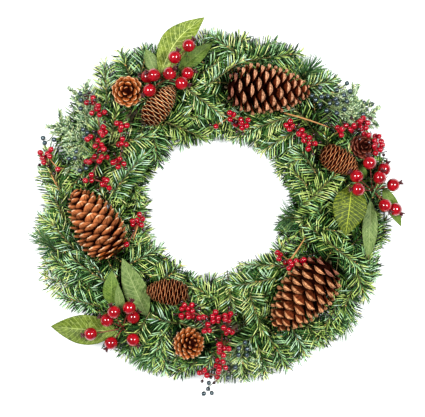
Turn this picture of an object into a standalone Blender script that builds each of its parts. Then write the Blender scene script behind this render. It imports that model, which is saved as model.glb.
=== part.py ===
"""Berry wreath lying on its back with its front up.

A double wire ring carries fourteen wound bunches of fir twigs. Pine cones, leafy picks with
large berries, sprays of small red berries, long-needled pine sprigs and frosted juniper with
blue berries stand on wire stems between the twigs. X runs to the wreath's right, Y to its top,
Z away from the surface that it lies on, and the origin is in the middle of the ring on that
surface.
"""

import math
import random

import bmesh
import bpy
from mathutils import Vector
from mathutils.bvhtree import BVHTree

MM = 0.001
SEED = 7
CLEAR = 0.45 * MM  # least air between two pieces
REACH_GAP = 0.4 * MM  # a pick's end stops this far from the core that it stands on
SEAT_TURNS = (0, 2, -2, 4, -4, 7, -7, 10, -10, 14, -14)  # degrees round the ring to try
SEAT_EDGE = 1.5  # degrees between a pick's foot and the end of a core

# The wire frame
WIRE_RADIUS = 2.2 * MM
WIRE_RINGS = (187 * MM, 207 * MM)
WIRE_SIDES = 6
STRIP_SIZE = (46 * MM, 12 * MM, 2.0 * MM)
STRIP_ANGLES = (90, 210, 330)
STRIP_SINK = 0.5 * MM

# The bunches' wound cores
RING_RADIUS = 197 * MM
SECTORS = 14
CORE_RADIUS = 17 * MM
CORE_SIDES = 8
CORE_STEPS = 2
CORE_GAP = 0.5 * MM  # between the ends of two cores
CORE_Z = 19.1 * MM  # leaves 0.3 mm of air between the cores and the wires under them

# What the foliage keeps to
HOLE_RADIUS = 106 * MM
FLOOR = 3 * MM
CROWN_HIGH = 76 * MM
CROWN_LOW = 44 * MM
CROWN_HALF = 98 * MM

STEM = 1.1 * MM
STEM_SIDES = 3
WHORL_BASE = 3.0 * MM  # length of stem that a whorl of needles takes
NEEDLE_ROOT = 1.5 * MM  # half a needle's width where it leaves the stem

# Rows of fir twigs: number round the wreath, elevation from straight outward, swirl, reach,
# droop at the tip, whorls
FIR_ROWS = (
    (25, 4, 18, 90 * MM, -2 * MM, 3),
    (13, 176, -20, 86 * MM, 0 * MM, 3),
    (14, 36, -16, 88 * MM, 12 * MM, 3),
    (8, 138, 22, 82 * MM, 10 * MM, 2),
    (8, 62, 34, 80 * MM, 12 * MM, 2),
    (6, 105, -38, 78 * MM, 10 * MM, 2),
)
FIR_NEEDLE = 22 * MM
FIR_LEAN = 44
FIR_TRIES = 14
FIR_ENOUGH = 0.72  # share of a twig's needles that has to be clear for it to be kept at once
FIR_LEAST = 0.4

# Pine sprigs: where the stem leaves the foliage, its tip, whorls
PINE_SPRIGS = {
    "pine_sprig_left": ((-226, -72, 50), (-268, -46, 62), 3),
    "pine_sprig_bottom": ((-112, -226, 48), (-124, -242, 48), 3),
    "pine_sprig_right": ((194, -160, 48), (210, -182, 48), 3),
    "pine_sprig_top": ((130, 205, 54), (148, 214, 58), 3),
    "pine_sprig_inner": ((112, -16, 56), (104, -26, 62), 2),
    "pine_sprig_crest": ((56, 228, 50), (50, 246, 52), 3),
}
PINE_NEEDLE = 38 * MM
PINE_LEAN = 30

# Juniper sprays: the branches' bends and tips
JUNIPER_SPRAYS = {
    "juniper_left": (
        ((-206, 92, 60), (-262, 138, 58)),
        ((-190, 110, 60), (-222, 192, 60)),
        ((-200, 80, 56), (-236, 72, 56)),
    ),
    "juniper_right": (
        ((196, 160, 58), (232, 176, 58)),
        ((196, 150, 58), (262, 142, 58)),
    ),
    "juniper_bottom": (
        ((36, -222, 56), (52, -262, 56)),
        ((24, -220, 56), (22, -286, 50)),
    ),
}
JUNIPER_NEEDLE = 12 * MM
JUNIPER_LEAN = 42

# Cones: middle of the base, tip, radius, rows of scales, scales in a row. A look is how far a
# scale stands out and leans to the tip, half a scale's lip (0 for a point), and where along the
# cone it is widest, each as a share.
OPEN_LOOK = (0.42, 0.22, 0.62, 0.3)
SLIM_LOOK = (0.22, 0.35, 0, 0.36)
ROUND_LOOK = (0.45, 0.2, 0.6, 0.35)
CONE_STEM = 1.6 * MM
OPEN_CONES = {
    "cone_open_left": ((-154, -84, 76), (-228, 25, 82), 40, 9, 8),
    "cone_open_top": ((16, 186, 79), (150, 181, 80), 41, 9, 8),
    "cone_open_right": ((179, -95, 80), (94, -193, 78), 42.5, 9, 8),
}
SLIM_CONES = {
    "cone_slim_top": ((-113, 130, 63), (-68, 191, 62), 20.5, 8, 7),
    "cone_slim_right": ((166, 87, 68), (226, 55, 66), 20.5, 8, 7),
    "cone_slim_bottom": ((-44, -140, 66), (-113, -135, 70), 20.5, 8, 7),
}
ROUND_CONES = {
    "cone_round_top": ((-142, 182, 50), (-142, 182, 88), 25, 4, 7),
    "cone_round_bottom": ((-50, -222, 48), (-36, -216, 88), 26, 4, 7),
    "cone_round_right": ((232, 94, 38), (238, 96, 66), 20, 4, 7),
}

# Leafy picks: the pick's middle, then each leaf's base, tip, width and arch
PICKS = {
    "pick_top": (
        (-82, 201, 50),
        (
            ((-86, 221, 54), (-19, 301, 58), 45, 6),
            ((-62, 218, 38), (-6, 262, 40), 26, 4),
            ((-98, 214, 50), (-113, 251, 50), 22, 4),
        ),
    ),
    "pick_right": (
        (250, 24, 40),
        (
            ((216, 30, 74), (203, -48, 80), 50, 7),
            ((247, 8, 52), (244, -89, 48), 29, 7),
            ((268, 30, 40), (298, -34, 36), 22, 5),
            ((240, 44, 50), (222, 66, 52), 16, 3),
        ),
    ),
    "pick_bottom": (
        (-150, -196, 44),
        (
            ((-160, -202, 52), (-266, -194, 46), 48, 8),
            ((-168, -158, 62), (-166, -103, 74), 27, 4),
            ((-112, -178, 42), (-150, -84, 68), 38, 3),
            ((-152, -172, 60), (-156, -124, 84), 16, 3),
        ),
    ),
}
LEAF_THICK = 1.2 * MM
LEAF_STEPS = 4
LEAF_FOLD = 0.22
PETIOLE = 3 * MM
LEAF_STEM = 1.8 * MM
BERRY_SIDES = 6

LARGE_BERRY = 10.5 * MM
TRUNK = 1.6 * MM  # what a pick's trunk needs clear on each side
LEAST_TRUNK = 18 * MM
STALK_STEP = 0.06  # between two stalks' starts, as a share of the trunk
LARGE_BERRIES = {
    "pick_top": (
        (-44, 253, 82), (-66, 234, 88), (-74, 208, 92), (-46, 210, 72),
        (-99, 206, 88), (-110, 205, 68), (-106, 182, 84), (-55, 193, 87),
    ),
    "pick_right": (
        (241, 67, 92), (267, 58, 66), (258, 44, 82), (282, 33, 62),
        (221, 46, 87), (222, 25, 101), (268, 0, 70), (286, -6, 59),
    ),
    "pick_bottom": (
        (-162, -168, 90), (-138, -162, 80), (-133, -178, 64), (-174, -182, 76),
        (-200, -204, 73), (-168, -219, 68), (-133, -214, 64),
    ),
}

# Sprays of small berries: bunches in order along the stem, as x, y and the berries seen there
SMALL_BERRY = 4.7 * MM
BERRY_SHARE = 0.21  # of the berries seen, as solids
BERRY_SPACE = 10.4 * MM
SMALL_STALK = 0.8 * MM
RED_SPRAYS = {
    "berries_left_long": (
        (-175, 36, 5), (-202, 42, 3), (-189, 72, 7), (-186, 96, 7),
        (-182, 120, 4), (-190, 150, 6), (-200, 168, 3),
    ),
    "berries_left_short": ((-155, 68, 5), (-150, 100, 4), (-150, 126, 5)),
    "berries_left_tan": ((-252, 60, 1), (-273, 79, 7)),
    "berries_left_inner": ((-128, -28, 8),),
    "berries_top_left": ((-4, 134, 2), (22, 146, 3), (42, 128, 6)),
    "berries_top_right": ((112, 128, 4), (130, 110, 4), (148, 96, 6)),
    "berries_right_long": ((190, 118, 4), (210, 126, 4), (230, 132, 7)),
    "berries_right_end": ((262, 96, 9),),
    "berries_right_inner": ((137, -90, 3), (116, -94, 5), (98, -78, 3)),
    "berries_bottom_left": ((-24, -174, 3), (-47, -170, 9), (-16, -194, 4)),
    "berries_bottom_mid": ((-2, -176, 5), (16, -178, 6), (20, -198, 4)),
    "berries_bottom_end": ((8, -226, 7), (4, -252, 6), (-16, -266, 5)),
}
BLUE_BERRY = 4.1 * MM
BLUE_SPRAYS = {
    "blue_berries_left": ((-208, 62, 3), (-226, 80, 3), (-205, 112, 4), (-215, 168, 4), (-268, 106, 3)),
    "blue_berries_right": ((206, 178, 7), (162, 172, 6), (188, 156, 6), (236, 156, 5)),
    "blue_berries_bottom": ((44, -232, 5), (22, -262, 4), (-12, -295, 4)),
}
BERRY_TOP = {"red": 10 * MM, "blue": 4 * MM}  # above the foliage's crown

COLOURS = {
    "wire": ((0.06, 0.09, 0.05, 1), 0.45, 0.6),
    "fir": ((0.06, 0.17, 0.05, 1), 0.6, 0.0),
    "pine": ((0.09, 0.22, 0.05, 1), 0.6, 0.0),
    "juniper": ((0.33, 0.45, 0.36, 1), 0.8, 0.0),
    "cone": ((0.23, 0.10, 0.045, 1), 0.75, 0.0),
    "leaf": ((0.22, 0.38, 0.10, 1), 0.5, 0.0),
    "red": ((0.45, 0.008, 0.015, 1), 0.18, 0.0),
    "blue": ((0.03, 0.07, 0.11, 1), 0.4, 0.0),
}


def mm(place):
    """A point given in millimetres."""
    return Vector(place) * MM


def clear_scene():
    """Removes every object, so that the script starts from nothing."""
    for item in list(bpy.data.objects):
        bpy.data.objects.remove(item, do_unlink=True)


def material(kind):
    """The material of one kind of piece, made once."""
    made = bpy.data.materials.get(kind)
    if made:
        return made
    colour, roughness, metallic = COLOURS[kind]
    made = bpy.data.materials.new(kind)
    made.use_nodes = True
    shader = made.node_tree.nodes["Principled BSDF"]
    shader.inputs["Base Color"].default_value = colour
    shader.inputs["Roughness"].default_value = roughness
    shader.inputs["Metallic"].default_value = metallic
    made.diffuse_color = colour
    return made


def add_object(name, mesh, kind, collection):
    """A mesh as a named object of the wreath."""
    item = bpy.data.objects.new(name, mesh)
    mesh.materials.clear()
    mesh.materials.append(material(kind))
    collection.objects.link(item)
    return item


def to_mesh(body, name):
    """The finished mesh of a bmesh body, with its faces pointing out."""
    bmesh.ops.recalc_face_normals(body, faces=body.faces)
    if body.calc_volume(signed=True) < 0:
        bmesh.ops.reverse_faces(body, faces=body.faces)
    mesh = bpy.data.meshes.new(name)
    body.to_mesh(mesh)
    body.free()
    return mesh


def fuse(name, meshes, kind, collection):
    """One solid from several that run into each other."""
    base = add_object(name, meshes[0], kind, collection)
    if len(meshes) == 1:
        return base
    loose = bpy.data.collections.new(name + "_loose")
    bpy.context.scene.collection.children.link(loose)
    for mesh in meshes[1:]:
        loose.objects.link(bpy.data.objects.new(mesh.name, mesh))
    union = base.modifiers.new("union", "BOOLEAN")
    union.operation = "UNION"
    union.operand_type = "COLLECTION"
    union.collection = loose
    union.solver = "MANIFOLD"
    bpy.context.view_layer.update()
    graph = bpy.context.evaluated_depsgraph_get()
    fused = bpy.data.meshes.new_from_object(base.evaluated_get(graph))
    base.modifiers.clear()
    base.data = fused
    fused.name = name
    fused.materials.clear()
    fused.materials.append(material(kind))
    for item in list(loose.objects):
        bpy.data.objects.remove(item, do_unlink=True)
    bpy.data.collections.remove(loose)
    return base


def crown(radius):
    """Height of the foliage's top at a distance from the wreath's middle."""
    off = (radius - RING_RADIUS) / CROWN_HALF
    return CROWN_LOW + (CROWN_HIGH - CROWN_LOW) * max(0.0, 1 - off * off)


def core_distance(point):
    """Distance of a point from the ring's middle line."""
    radial = math.hypot(point.x, point.y) - RING_RADIUS
    return math.hypot(radial, point.z - CORE_Z)


def ring_point(angle, radius=RING_RADIUS, height=CORE_Z):
    """A point by its angle round the wreath, in degrees."""
    turn = math.radians(angle)
    return Vector((radius * math.cos(turn), radius * math.sin(turn), height))


class Space:
    """What already stands in the wreath, which each new twig keeps clear of."""

    def __init__(self, cores):
        self.cores = BVHTree.FromBMesh(cores)
        self.points = []
        self.faces = []
        self.balls = []
        self.tree = None

    def seat(self, point, turn=0.0):
        """Where a wire from a point to the ring's middle line stops, just short of a core."""
        pitch = 360 / SECTORS
        angle = math.degrees(math.atan2(point.y, point.x)) + turn
        inside = min(pitch - SEAT_EDGE, max(SEAT_EDGE, angle % pitch))
        way = (ring_point(angle - angle % pitch + inside) - point).normalized()
        hit = self.cores.ray_cast(point, way)[0]
        return hit - way * REACH_GAP

    def add(self, body):
        """Takes in a bmesh body."""
        first = len(self.points)
        body.verts.index_update()
        self.points.extend(vert.co.copy() for vert in body.verts)
        self.faces.extend([first + vert.index for vert in face.verts] for face in body.faces)
        self.tree = BVHTree.FromPolygons(self.points, self.faces)

    def add_ball(self, centre, radius):
        """Takes in a round body that nothing may stand inside."""
        self.balls.append((centre, radius))

    def free(self, point, radius):
        """True where a ball of this radius touches nothing."""
        away = radius + CLEAR
        if point.z - radius < FLOOR:
            return False
        if math.hypot(point.x, point.y) - radius < HOLE_RADIUS:
            return False
        if any((point - centre).length < size + away for centre, size in self.balls):
            return False
        if not self.tree:
            return True
        return self.tree.find_nearest(point, away)[0] is None

    def open_way(self, start, end, wide, narrow, past_core=True):
        """True where a thin taper from start to end is clear of everything."""
        steps = max(2, math.ceil((end - start).length / (1.5 * MM)))
        for step in range(1, steps + 1):
            share = step / steps
            point = start.lerp(end, share)
            radius = wide + (narrow - wide) * share
            if past_core and self.cores.find_nearest(point, radius + CLEAR)[0] is not None:
                return False
            if not self.free(point, max(radius, 0.5 * MM)):
                return False
        return True


def frames(points):
    """At each point of a line: the point, the line's direction and two sides of it."""
    found = []
    side = None
    for index, point in enumerate(points):
        ahead = points[min(index + 1, len(points) - 1)]
        behind = points[max(index - 1, 0)]
        along = (ahead - behind).normalized()
        if side is None:
            side = along.orthogonal()
        side = (side - along * side.dot(along)).normalized()
        found.append((point, along, side, along.cross(side)))
    return found


def ring(body, frame, radius, sides, turn=0.0):
    """A ring of points round a frame's middle."""
    middle, _, side, across = frame
    angles = [turn + math.tau * k / sides for k in range(sides)]
    return [
        body.verts.new(middle + (side * math.cos(a) + across * math.sin(a)) * radius)
        for a in angles
    ]


def band(body, low, high):
    """Triangles between two rings, the second turned by half a side."""
    faces = []
    for k, corner in enumerate(low):
        other = (k + 1) % len(low)
        faces.append(body.faces.new((corner, low[other], high[k])))
        faces.append(body.faces.new((low[other], high[other], high[k])))
    return faces


def fan(body, rim, peak):
    """Triangles from a ring to one point."""
    for k, corner in enumerate(rim):
        body.faces.new((corner, rim[(k + 1) % len(rim)], peak))


def widen(body, low, high):
    """Triangles from a ring to one of twice as many points."""
    count = len(low)
    for k, corner in enumerate(low):
        other = low[(k + 1) % count]
        near, mid, far = high[2 * k], high[2 * k + 1], high[(2 * k + 2) % (2 * count)]
        body.faces.new((corner, near, mid))
        body.faces.new((corner, mid, other))
        body.faces.new((other, mid, far))


def bend_line(start, middle, end, share):
    """A point of the smooth bend that leaves start towards middle and ends at end."""
    return start.lerp(middle, share).lerp(middle.lerp(end, share), share)


def line_length(line, steps=8):
    """The length of a line that is given as a function of its share."""
    return sum((line((k + 1) / steps) - line(k / steps)).length for k in range(steps))


def stem_body(points, radius, pointed=True):
    """A thin stem of three sides along some points, pointed at its first end or cut there."""
    body = bmesh.new()
    line = frames(points)
    rings = [
        ring(body, frame, radius, STEM_SIDES, math.pi / STEM_SIDES * index)
        for index, frame in enumerate(line)
        if index or not pointed
    ]
    if pointed:
        fan(body, rings[0], body.verts.new(points[0]))
    else:
        body.faces.new(rings[0])
    for low, high in zip(rings, rings[1:]):
        band(body, low, high)
    body.faces.new(rings[-1])
    return body


def misses_stem(root, tip, line):
    """True where a needle doesn't run back into its own stem."""
    way = tip - root
    for step in range(13):
        point = line(step / 12)
        share = max(0.3, min(1.0, (point - root).dot(way) / way.length_squared))
        if (root + way * share - point).length < 2 * STEM + 1 * MM:
            return False
    return True


def needle_stem(line, whorls, needle, lean, space, spin, pointed, stem=STEM):
    """A slim stem with whorls of needles, each raised from one of its faces.

    line gives a point for each share of the way, whorls are the shares where needles stand, and
    spin turns them round the stem. Returns the body and the share of its needles that are clear.
    """
    length = line_length(line)
    shares = [0.0, whorls[0] / 2] if pointed else [0.0]
    first = len(shares)
    for share in whorls:
        shares += [share, share + WHORL_BASE / length]
    shares.append(1.0)
    places = frames([line(share) for share in shares])
    body = bmesh.new()
    start = 1 if pointed else 0
    rings = [
        ring(body, places[index], stem, STEM_SIDES, math.pi / STEM_SIDES * index + spin)
        for index in range(start, len(places) - 1)
    ]
    if pointed:
        fan(body, rings[0], body.verts.new(places[0][0]))
    else:
        body.faces.new(rings[0])
    fan(body, rings[-1], body.verts.new(places[-1][0]))
    wanted = 0
    raised = []
    for index in range(start, len(places) - 2):
        faces = band(body, rings[index - start], rings[index + 1 - start])
        if (index - first) % 2 or index < first:
            continue
        middle = (places[index][0] + places[index + 1][0]) / 2
        along = places[index][1]
        for face in faces:
            root = face.calc_center_median()
            out = root - middle
            out = (out - along * out.dot(along)).normalized()
            way = along * math.cos(lean) + out * math.sin(lean)
            wanted += 1
            for size in (needle, needle * 0.7):
                tip = root + way * size
                clear = space.open_way(root, tip, NEEDLE_ROOT, 0.3 * MM)
                if clear and misses_stem(root, tip, line):
                    raised.append((face, tip))
                    break
    for face, tip in raised:
        peak = bmesh.ops.poke(body, faces=[face])["verts"][0]
        peak.co = tip
    return body, len(raised) / wanted


def stem_is_clear(line, space, sector):
    """True where a stem is clear, and leaves the core through its own sector."""
    steps = 40
    for step in range(steps + 1):
        point = line(step / steps)
        depth = core_distance(point)
        if depth > CORE_RADIUS - STEM and not space.free(point, STEM):
            return False
        if depth < CORE_RADIUS + STEM + CLEAR:
            middle = (sector + 0.5) * 360 / SECTORS
            angle = math.degrees(math.atan2(point.y, point.x))
            off = abs((angle - middle + 180) % 360 - 180)
            if off > 180 / SECTORS - 1.1:
                return False
    return True


def fir_line(angle, elevation, swirl, reach, droop):
    """The line of one fir twig, from the ring's middle line to its end needle's tip."""
    start = ring_point(angle)
    outward = Vector((math.cos(math.radians(angle)), math.sin(math.radians(angle)), 0))
    round_way = Vector((-outward.y, outward.x, 0))
    rise = math.radians(elevation)
    lean = math.radians(swirl)
    flat = outward * math.cos(rise) + Vector((0, 0, 1)) * math.sin(rise)
    way = flat * math.cos(lean) + round_way * math.sin(lean)
    sag = Vector((0, 0, -droop))
    return lambda share: start + way * (reach * share) + sag * (share * share)


def fir_twig(row, place, space):
    """One fir twig, tried at a few leans until it stands clear: its sector and body, or None."""
    count, elevation, swirl, reach, droop, whorl_count = FIR_ROWS[row]
    rng = random.Random(SEED + 100 * row + place)
    pitch = 360 / SECTORS
    best = None
    for attempt in range(FIR_TRIES):
        loose = 1 + 0.2 * attempt
        round_ring = (place + 0.5 + 0.37 * row + rng.uniform(-0.16, 0.16) * loose) / count
        sector = int(round_ring * SECTORS) % SECTORS
        inside = min(0.9, max(0.1, round_ring * SECTORS % 1))
        size = reach * rng.uniform(0.92, 1.06) * (1 - 0.022 * attempt)
        tilt = elevation + rng.uniform(-7, 7) * loose
        turn = swirl + rng.uniform(-9, 9) * loose
        line = fir_line((sector + inside) * pitch, tilt, turn, size, droop)
        if not stem_is_clear(line, space, sector):
            continue
        first = (CORE_RADIUS + 5 * MM) / size
        last = 1 - (FIR_NEEDLE - WHORL_BASE) / size
        whorls = [first + (last - first) * k / (whorl_count - 1) for k in range(whorl_count)]
        spin = rng.uniform(0, 2)
        lean = math.radians(FIR_LEAN)
        body, share = needle_stem(line, whorls, FIR_NEEDLE, lean, space, spin, False)
        if best and share <= best[2]:
            body.free()
            continue
        if best:
            best[1].free()
        best = (sector, body, share)
        if share >= FIR_ENOUGH:
            break
    if best and best[2] < FIR_LEAST:
        best[1].free()
        return None
    return best and best[:2]


def core_body(body, sector):
    """Adds the wound core of one bunch to a body: a stretch of the ring with eight sides."""
    half_gap = math.degrees(CORE_GAP / 2 / RING_RADIUS)
    start = sector * 360 / SECTORS + half_gap
    end = (sector + 1) * 360 / SECTORS - half_gap
    rings = []
    for step in range(CORE_STEPS + 1):
        angle = start + (end - start) * step / CORE_STEPS
        middle = ring_point(angle)
        outward = Vector((middle.x, middle.y, 0)).normalized()
        frame = (middle, None, outward, Vector((0, 0, 1)))
        rings.append(ring(body, frame, CORE_RADIUS, CORE_SIDES, math.pi / CORE_SIDES))
    for low, high in zip(rings, rings[1:]):
        for k, corner in enumerate(low):
            other = (k + 1) % CORE_SIDES
            body.faces.new((corner, low[other], high[other], high[k]))
    body.faces.new(rings[0])
    body.faces.new(rings[-1])
    return body


def fir_bunches(space, wreath):
    """All the fir bunches, each a core with its twigs."""
    bunches = [[to_mesh(core_body(bmesh.new(), sector), "core")] for sector in range(SECTORS)]
    for row, (count, *_) in enumerate(FIR_ROWS):
        for place in range(count):
            found = fir_twig(row, place, space)
            if found:
                sector, twig = found
                space.add(twig)
                bunches[sector].append(to_mesh(twig, f"twig_{row}_{place}"))
    for sector, meshes in enumerate(bunches):
        fuse(f"fir_bunch_{sector + 1:02d}", meshes, "fir", wreath)


def wire_frame(wreath):
    """Two wire rings on three flat cross strips, which are its feet."""
    middle = STRIP_SIZE[2] - STRIP_SINK + WIRE_RADIUS * math.cos(math.pi / WIRE_SIDES)
    meshes = []
    for radius in WIRE_RINGS:
        bpy.ops.mesh.primitive_torus_add(
            major_radius=radius,
            minor_radius=WIRE_RADIUS,
            major_segments=SECTORS * CORE_STEPS,
            minor_segments=WIRE_SIDES,
            location=(0, 0, 0),
        )
        meshes.append(take_mesh(bpy.context.object, Vector((0, 0, middle)), 0))
    for angle in STRIP_ANGLES:
        bpy.ops.mesh.primitive_cube_add(size=1, location=(0, 0, 0))
        box = bpy.context.object
        for vert in box.data.vertices:
            vert.co = Vector(a * b for a, b in zip(vert.co, STRIP_SIZE))
        meshes.append(take_mesh(box, ring_point(angle, height=STRIP_SIZE[2] / 2), angle))
    fuse("wire_frame", meshes, "wire", wreath)


def take_mesh(item, place, angle):
    """A primitive's mesh, turned about Z and moved, without its object."""
    turn = math.radians(angle)
    mesh = item.data
    for vert in mesh.vertices:
        x, y, z = vert.co
        vert.co = Vector(
            (x * math.cos(turn) - y * math.sin(turn), x * math.sin(turn) + y * math.cos(turn), z)
        )
        vert.co += place
    bpy.data.objects.remove(item, do_unlink=True)
    return mesh


def swell(share, widest):
    """A cone's outline: its radius, as a share of the widest, along its length."""
    if share < widest:
        return math.sqrt(max(0.0, 1 - (1 - share / widest) ** 2))
    return max(0.0, 1 - ((share - widest) / (1 - widest)) ** 2) ** 0.6


def cone_mesh(base, tip, radius, rows, around, depth, forward, lip, widest):
    """A cone: rows of staggered diamonds, each raised to a scale.

    depth is how far a scale stands out, and forward how far it leans to the tip, as shares of
    the radius. lip is half a scale's width as a share of its diamond's, or 0 for a point.
    """
    body = bmesh.new()
    axis = (tip - base).normalized()
    length = (tip - base).length
    side = axis.orthogonal().normalized()
    across = axis.cross(side)
    inner = 1 - depth
    rings = []
    for level in range(rows + 2):
        share = 0.04 + 0.86 * level / (rows + 1)
        size = radius * inner * max(0.2, swell(share, widest))
        frame = (base + axis * (length * share), axis, side, across)
        rings.append(ring(body, frame, size, around, (level % 2) * math.pi / around))
    fan_zigzag(body, rings[0], rings[1], body.verts.new(base + axis * (0.01 * length)), 0)
    end = body.verts.new(tip - axis * (0.02 * length))
    fan_zigzag(body, rings[-2], rings[-1], end, rows)
    for level in range(1, rows + 1):
        middle = base + axis * (length * (0.04 + 0.86 * level / (rows + 1)))
        reach = swell(0.04 + 0.86 * level / (rows + 1), widest)
        for k in range(around):
            left = rings[level][k]
            right = rings[level][(k + 1) % around]
            step = k if level % 2 == 0 else (k + 1) % around
            low = rings[level - 1][step]
            high = rings[level + 1][step]
            heart = (left.co + right.co) / 2
            out = (heart - middle).normalized()
            peak = middle + out * (radius * reach) + axis * (radius * forward * (0.4 + 0.6 * reach))
            if not lip:
                point = body.verts.new(peak)
                for one, two in ((low, right), (right, high), (high, left), (left, low)):
                    body.faces.new((one, two, point))
                continue
            wide = axis.cross(out) * (math.pi * radius * reach / around * lip)
            one = body.verts.new(peak - wide)
            two = body.verts.new(peak + wide)
            if (left.co - right.co).dot(one.co - two.co) < 0:
                one, two = two, one
            body.faces.new((low, right, two))
            body.faces.new((low, two, one))
            body.faces.new((low, one, left))
            body.faces.new((high, left, one))
            body.faces.new((high, one, two))
            body.faces.new((high, two, right))
    return body


def fan_zigzag(body, low, high, peak, level):
    """Closes an end of a cone between two staggered rings."""
    count = len(low)
    for k in range(count):
        if level % 2 == 0:
            order = (low[k], high[k], low[(k + 1) % count])
        else:
            order = (low[k], high[(k + 1) % count], low[(k + 1) % count])
        body.faces.new((order[0], order[1], peak))
        body.faces.new((order[1], order[2], peak))


def cone(name, spec, look, space, wreath):
    """One cone on a wire stem that runs from its base to the core."""
    base, tip, size, rows, around = spec
    depth, forward, lip, widest = look
    base, tip = mm(base), mm(tip)
    radius = size * MM
    body = cone_mesh(base, tip, radius, rows, around, depth, forward, lip, widest)
    space.add(body)
    for step in range(11):
        share = 0.02 + 0.96 * step / 10
        space.add_ball(base.lerp(tip, share), radius * swell(share, widest) + 1.0 * MM)
    axis = (tip - base).normalized()
    inside = base + axis * (0.18 * (tip - base).length)
    seat = space.seat(base - axis * 4 * MM)
    knee = base - axis * 8 * MM
    points = [bend_line(seat, knee, inside, k / 5) for k in range(6)]
    stem = stem_body(points, CONE_STEM)
    space.add(stem)
    fuse(name, [to_mesh(body, name), to_mesh(stem, "stem")], "cone", wreath)


def leaf_body(foot, base, tip, width, arch):
    """A leaf in one sheet: a narrow petiole from its foot, and a blade folded along its rib."""
    body = bmesh.new()
    bmesh.ops.create_grid(body, x_segments=LEAF_STEPS + 1, y_segments=2, size=1.0)
    along = tip - base
    blade_side = Vector((0, 0, 1)).cross(along).normalized()
    foot_side = Vector((0, 0, 1)).cross(base - foot).normalized()
    up = along.cross(blade_side).normalized()
    for vert in body.verts:
        column = round((vert.co.x + 1) / 2 * (LEAF_STEPS + 1)) - 1
        share = max(0, column) / LEAF_STEPS
        half = max(PETIOLE / 2, width / 2 * math.sin(math.pi * share**0.85) ** 0.9)
        lift = arch * math.sin(math.pi * share) + LEAF_FOLD * half * abs(vert.co.y)
        middle = foot if column < 0 else base + along * share
        side = (foot_side, foot_side + blade_side, blade_side)[min(2, column + 1)].normalized()
        vert.co = middle + side * (half * vert.co.y) + up * lift
    bmesh.ops.triangulate(body, faces=body.faces)
    bmesh.ops.recalc_face_normals(body, faces=body.faces)
    bmesh.ops.solidify(body, geom=body.faces[:], thickness=LEAF_THICK)
    return body


def leafy_pick(name, middle, leaves, space, wreath):
    """A pick's leaves on their stem."""
    middle = mm(middle)
    seat = space.seat(middle)
    bodies = [stem_body([seat, seat.lerp(middle, 0.5), middle], LEAF_STEM)]
    for index, (base, tip, width, arch) in enumerate(leaves):
        foot = middle.lerp(seat, 0.12 + 0.12 * index)
        bodies.append(leaf_body(foot, mm(base), mm(tip), width * MM, arch * MM))
    meshes = []
    for body in bodies:
        space.add(body)
        meshes.append(to_mesh(body, "leaf"))
    fuse(name + "_leaves", meshes, "leaf", wreath)


def berry_body(points, centre, radius, stalk, pointed=False, crowned=False):
    """A berry with its stalk, in one body: the stalk widens to the berry's foot."""
    body = bmesh.new()
    line = frames(points + [centre])
    _, axis, side, across = line[-1]

    def level(height, size, sides, turn):
        return ring(body, (centre + axis * height, axis, side, across), size, sides, turn)

    rings = [
        ring(body, frame, stalk, STEM_SIDES, math.pi / STEM_SIDES * index)
        for index, frame in enumerate(line[:-1])
        if index or not pointed
    ]
    if pointed:
        fan(body, rings[0], body.verts.new(points[0]))
    else:
        body.faces.new(rings[0])
    turn = math.pi / STEM_SIDES * len(points)
    neck = level(-radius * 0.98, stalk, STEM_SIDES, turn)
    for low, high in zip(rings, rings[1:] + [neck]):
        band(body, low, high)
    sixth = math.pi / BERRY_SIDES
    if not crowned:
        low = level(-radius * 0.5, radius * 0.9, BERRY_SIDES, turn)
        high = level(radius * 0.45, radius * 0.92, BERRY_SIDES, turn + sixth)
        widen(body, neck, low)
        band(body, low, high)
        fan(body, high, body.verts.new(centre + axis * radius))
        return body
    low = level(-radius * 0.5, radius * 0.92, BERRY_SIDES, turn)
    high = level(radius * 0.5, radius * 0.92, BERRY_SIDES, turn + sixth)
    rim = level(radius * 1.2, radius * 0.36, STEM_SIDES, turn + sixth)
    widen(body, neck, low)
    band(body, low, high)
    widen(body, rim, high)
    fan(body, rim, body.verts.new(centre + axis * radius))
    return body


def way_round(start, end, radius, space):
    """A thin stem's points from start to end, past what stands there, or None."""
    side = (end - start).normalized().cross(Vector((0, 0, 1)))
    centre = (start + end) / 2
    for bow in (0, 6, -6, 11, -11, 17, -17, 26, -26):
        for rise in (0, -7, 7, 13):
            bend = centre + 2 * (side * bow + Vector((0, 0, rise))) * MM
            points = [bend_line(start, bend, end, k / 4) for k in range(5)]
            pairs = list(zip(points, points[1:]))
            if all(space.open_way(a, b, radius, radius, False) for a, b in pairs):
                return [start, centre, end] if bow == rise == 0 else points
    return None


def large_berries(name, middle, berries, space, wreath):
    """A pick's large berries on stalks that meet near the pick's middle."""
    middle = mm(middle)
    best = None
    for turn in range(0, 360, 24):
        for out, rise in ((9, 6), (13, 0), (13, 10), (18, 4)):
            hub = middle + ring_point(turn, out * MM, rise * MM)
            seat = space.seat(hub)
            if (hub - seat).length < LEAST_TRUNK:
                continue
            if not space.open_way(seat, hub, TRUNK, TRUNK, False):
                continue
            reached = []
            for place in berries:
                start = hub.lerp(seat, STALK_STEP * len(reached))
                clear = space.open_way(start, mm(place), STEM, STEM, False)
                if clear and space.free(mm(place), LARGE_BERRY):
                    reached.append((start, mm(place)))
            if best is None or len(reached) > len(best[2]):
                best = (seat, hub, reached)
    seat, hub, reached = best
    bodies = []
    for start, centre in reached:
        points = [start] if bodies else [seat, seat.lerp(hub, 0.4), hub]
        bodies.append(berry_body(points, centre, LARGE_BERRY, STEM, not bodies, True))
        space.add_ball(centre, LARGE_BERRY + 0.8 * MM)
    meshes = []
    for body in bodies:
        space.add(body)
        meshes.append(to_mesh(body, "berry"))
    fuse(name + "_berries", meshes, "red", wreath)


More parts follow.
